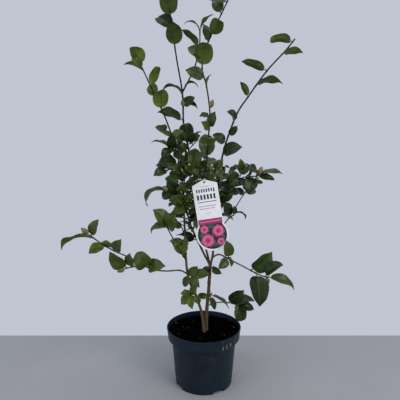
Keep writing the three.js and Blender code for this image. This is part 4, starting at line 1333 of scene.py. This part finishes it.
def inside(point, loop):
    """Whether a point is inside a closed outline, by counting the edges that a ray crosses."""
    x, y = point
    x1, y1 = loop[:, 0], loop[:, 1]
    x2, y2 = np.roll(x1, -1), np.roll(y1, -1)
    crosses = (y1 > y) != (y2 > y)
    with np.errstate(divide="ignore", invalid="ignore"):
        return np.count_nonzero(crosses & (x < x1 + (y - y1) * (x2 - x1) / (y2 - y1))) % 2 == 1


EDGE = label_outline()
HOLE = ring_of((0, 0), HOLE_RADIUS, 40)


def sheet_of(loops):
    """The outlines laid over each other and cut into flat faces."""
    corners, edges = [], []
    for loop in loops:
        first = len(corners)
        corners += [Vector(point) for point in loop.tolist()]
        edges += [(first + k, first + (k + 1) % len(loop)) for k in range(len(loop))]
    points, _, faces, *_ = geometry.delaunay_2d_cdt(corners, edges, [], 0, 1e-4)
    points = np.array([tuple(point) for point in points])
    centres = [points[list(face)].mean(0) for face in faces]
    kept = [i for i, c in enumerate(centres) if inside(c, EDGE) and not inside(c, HOLE)]
    return points, [faces[i] for i in kept], [centres[i] for i in kept]


def label_mesh():
    """The printed front, the plain back and the cut edge all round."""
    points, faces, centres = sheet_of([EDGE, HOLE] + [loop for _, loop in PRINT])
    slots = []
    for centre in centres:
        held_by = ["card"] + [colour for colour, loop in PRINT if inside(centre, loop)]
        slots.append(INK_NAMES.index(held_by[-1]))
    shift = len(points)
    points = np.vstack([np.column_stack([points, np.full(shift, level)])
                        for level in (LABEL_THICKNESS / 2, -LABEL_THICKNESS / 2)])
    edges = {(a, b): True for face in faces for a, b in zip(face, (*face[1:], face[0]))}
    walls = [(b, a, a + shift, b + shift) for a, b in edges if (b, a) not in edges]
    turned = [tuple(index + shift for index in reversed(face)) for face in faces]
    return points, [*faces, *turned, *walls], slots + [0] * (len(turned) + len(walls))


points, faces, slots = label_mesh()
label = make_piece("plant_label", on_label(points), faces, list(INKS.values()), slots, crisp=30)
stand_for(label, "label", "label")
print("label:", len(faces), "faces")

# %% Tie
CLEAR_PLASTIC = cloudy("clear_tie_plastic", 0.35, 6, "#c9ced0", "#e6e9ea")
points_on, _, side_ways, tops, _ = stations(tie, 96)
rings = [circle(*place, TIE_RADIUS, 10) for place in zip(points_on[:-1], side_ways[:-1], tops[:-1])]
points, faces = rings_to_tube(rings, closed=True)
stand_for(make_piece("label_loop", points, faces, [CLEAR_PLASTIC], crisp=None), "tie", "label_tie")

# %% [markdown]
# ## The studio
# The plant stands on a pale floor before a plain light background. Large soft lights from the
# front, the right and above keep the shadows weak, and the pale surroundings give the waxy leaves
# their cool sheen.

# %% Floor, light and surroundings
FLOOR_BACK = 252  # the floor ends this far behind the pot's centre
PAINTED_FLOOR = cloudy("painted_floor", 0.7, 180, "#929396", "#9b9c9f")
corners = [(-3000, -4000, 0), (3000, -4000, 0), (3000, FLOOR_BACK, 0), (-3000, FLOOR_BACK, 0)]
floor = make_piece("floor", corners, [(0, 1, 2, 3)], [PAINTED_FLOOR], crisp=None)

world = bpy.data.worlds.new("pale_room")
bpy.context.scene.world = world
world.use_nodes = True
surroundings = world.node_tree.nodes["Background"].inputs
surroundings["Color"].default_value = linear("#c5cbd8")
surroundings["Strength"].default_value = 0.94


def soft_light(name, place_mm, target_mm, size_mm, watts, colour="#ffffff"):
    """A large square lamp that looks at a point."""
    data = bpy.data.lights.new(name, "AREA")
    data.shape, data.size, data.energy = "SQUARE", size_mm * MM, watts
    data.color = linear(colour)[:3]
    lamp = put_in_scene(name, data)
    lamp.location = Vector(place_mm) * MM
    lamp.rotation_euler = (Vector(target_mm) - Vector(place_mm)).to_track_quat("-Z", "Y").to_euler()


soft_light("key", (1300, -1500, 1900), (0, 0, 450), 1200, 26, "#fffaf2")
soft_light("fill", (-1600, -1200, 1100), (0, 0, 450), 1400, 9, "#f2f6ff")
soft_light("top", (0, -100, 2300), (0, 0, 400), 1000, 8)

# %% [markdown]
# The camera stands 1.2 m in front of the pot and 0.72 m above the floor, and looks 11 degrees down,
# so the crown is seen nearly level and the pot from above.

# %% Camera
CAMERA_PLACE = (-9.87, -1199.7, 722.3)
CAMERA_DOWN, CAMERA_LENS = 11.246, 44.87  # degrees below level, and mm

camera_data = bpy.data.cameras.new("camera")
camera_data.lens, camera_data.sensor_width = CAMERA_LENS, 36
camera = put_in_scene("camera", camera_data)
camera.location = Vector(CAMERA_PLACE) * MM
camera.rotation_euler = (math.radians(90 - CAMERA_DOWN), 0, 0)
bpy.context.scene.camera = camera
bpy.context.scene.view_settings.view_transform = "Standard"
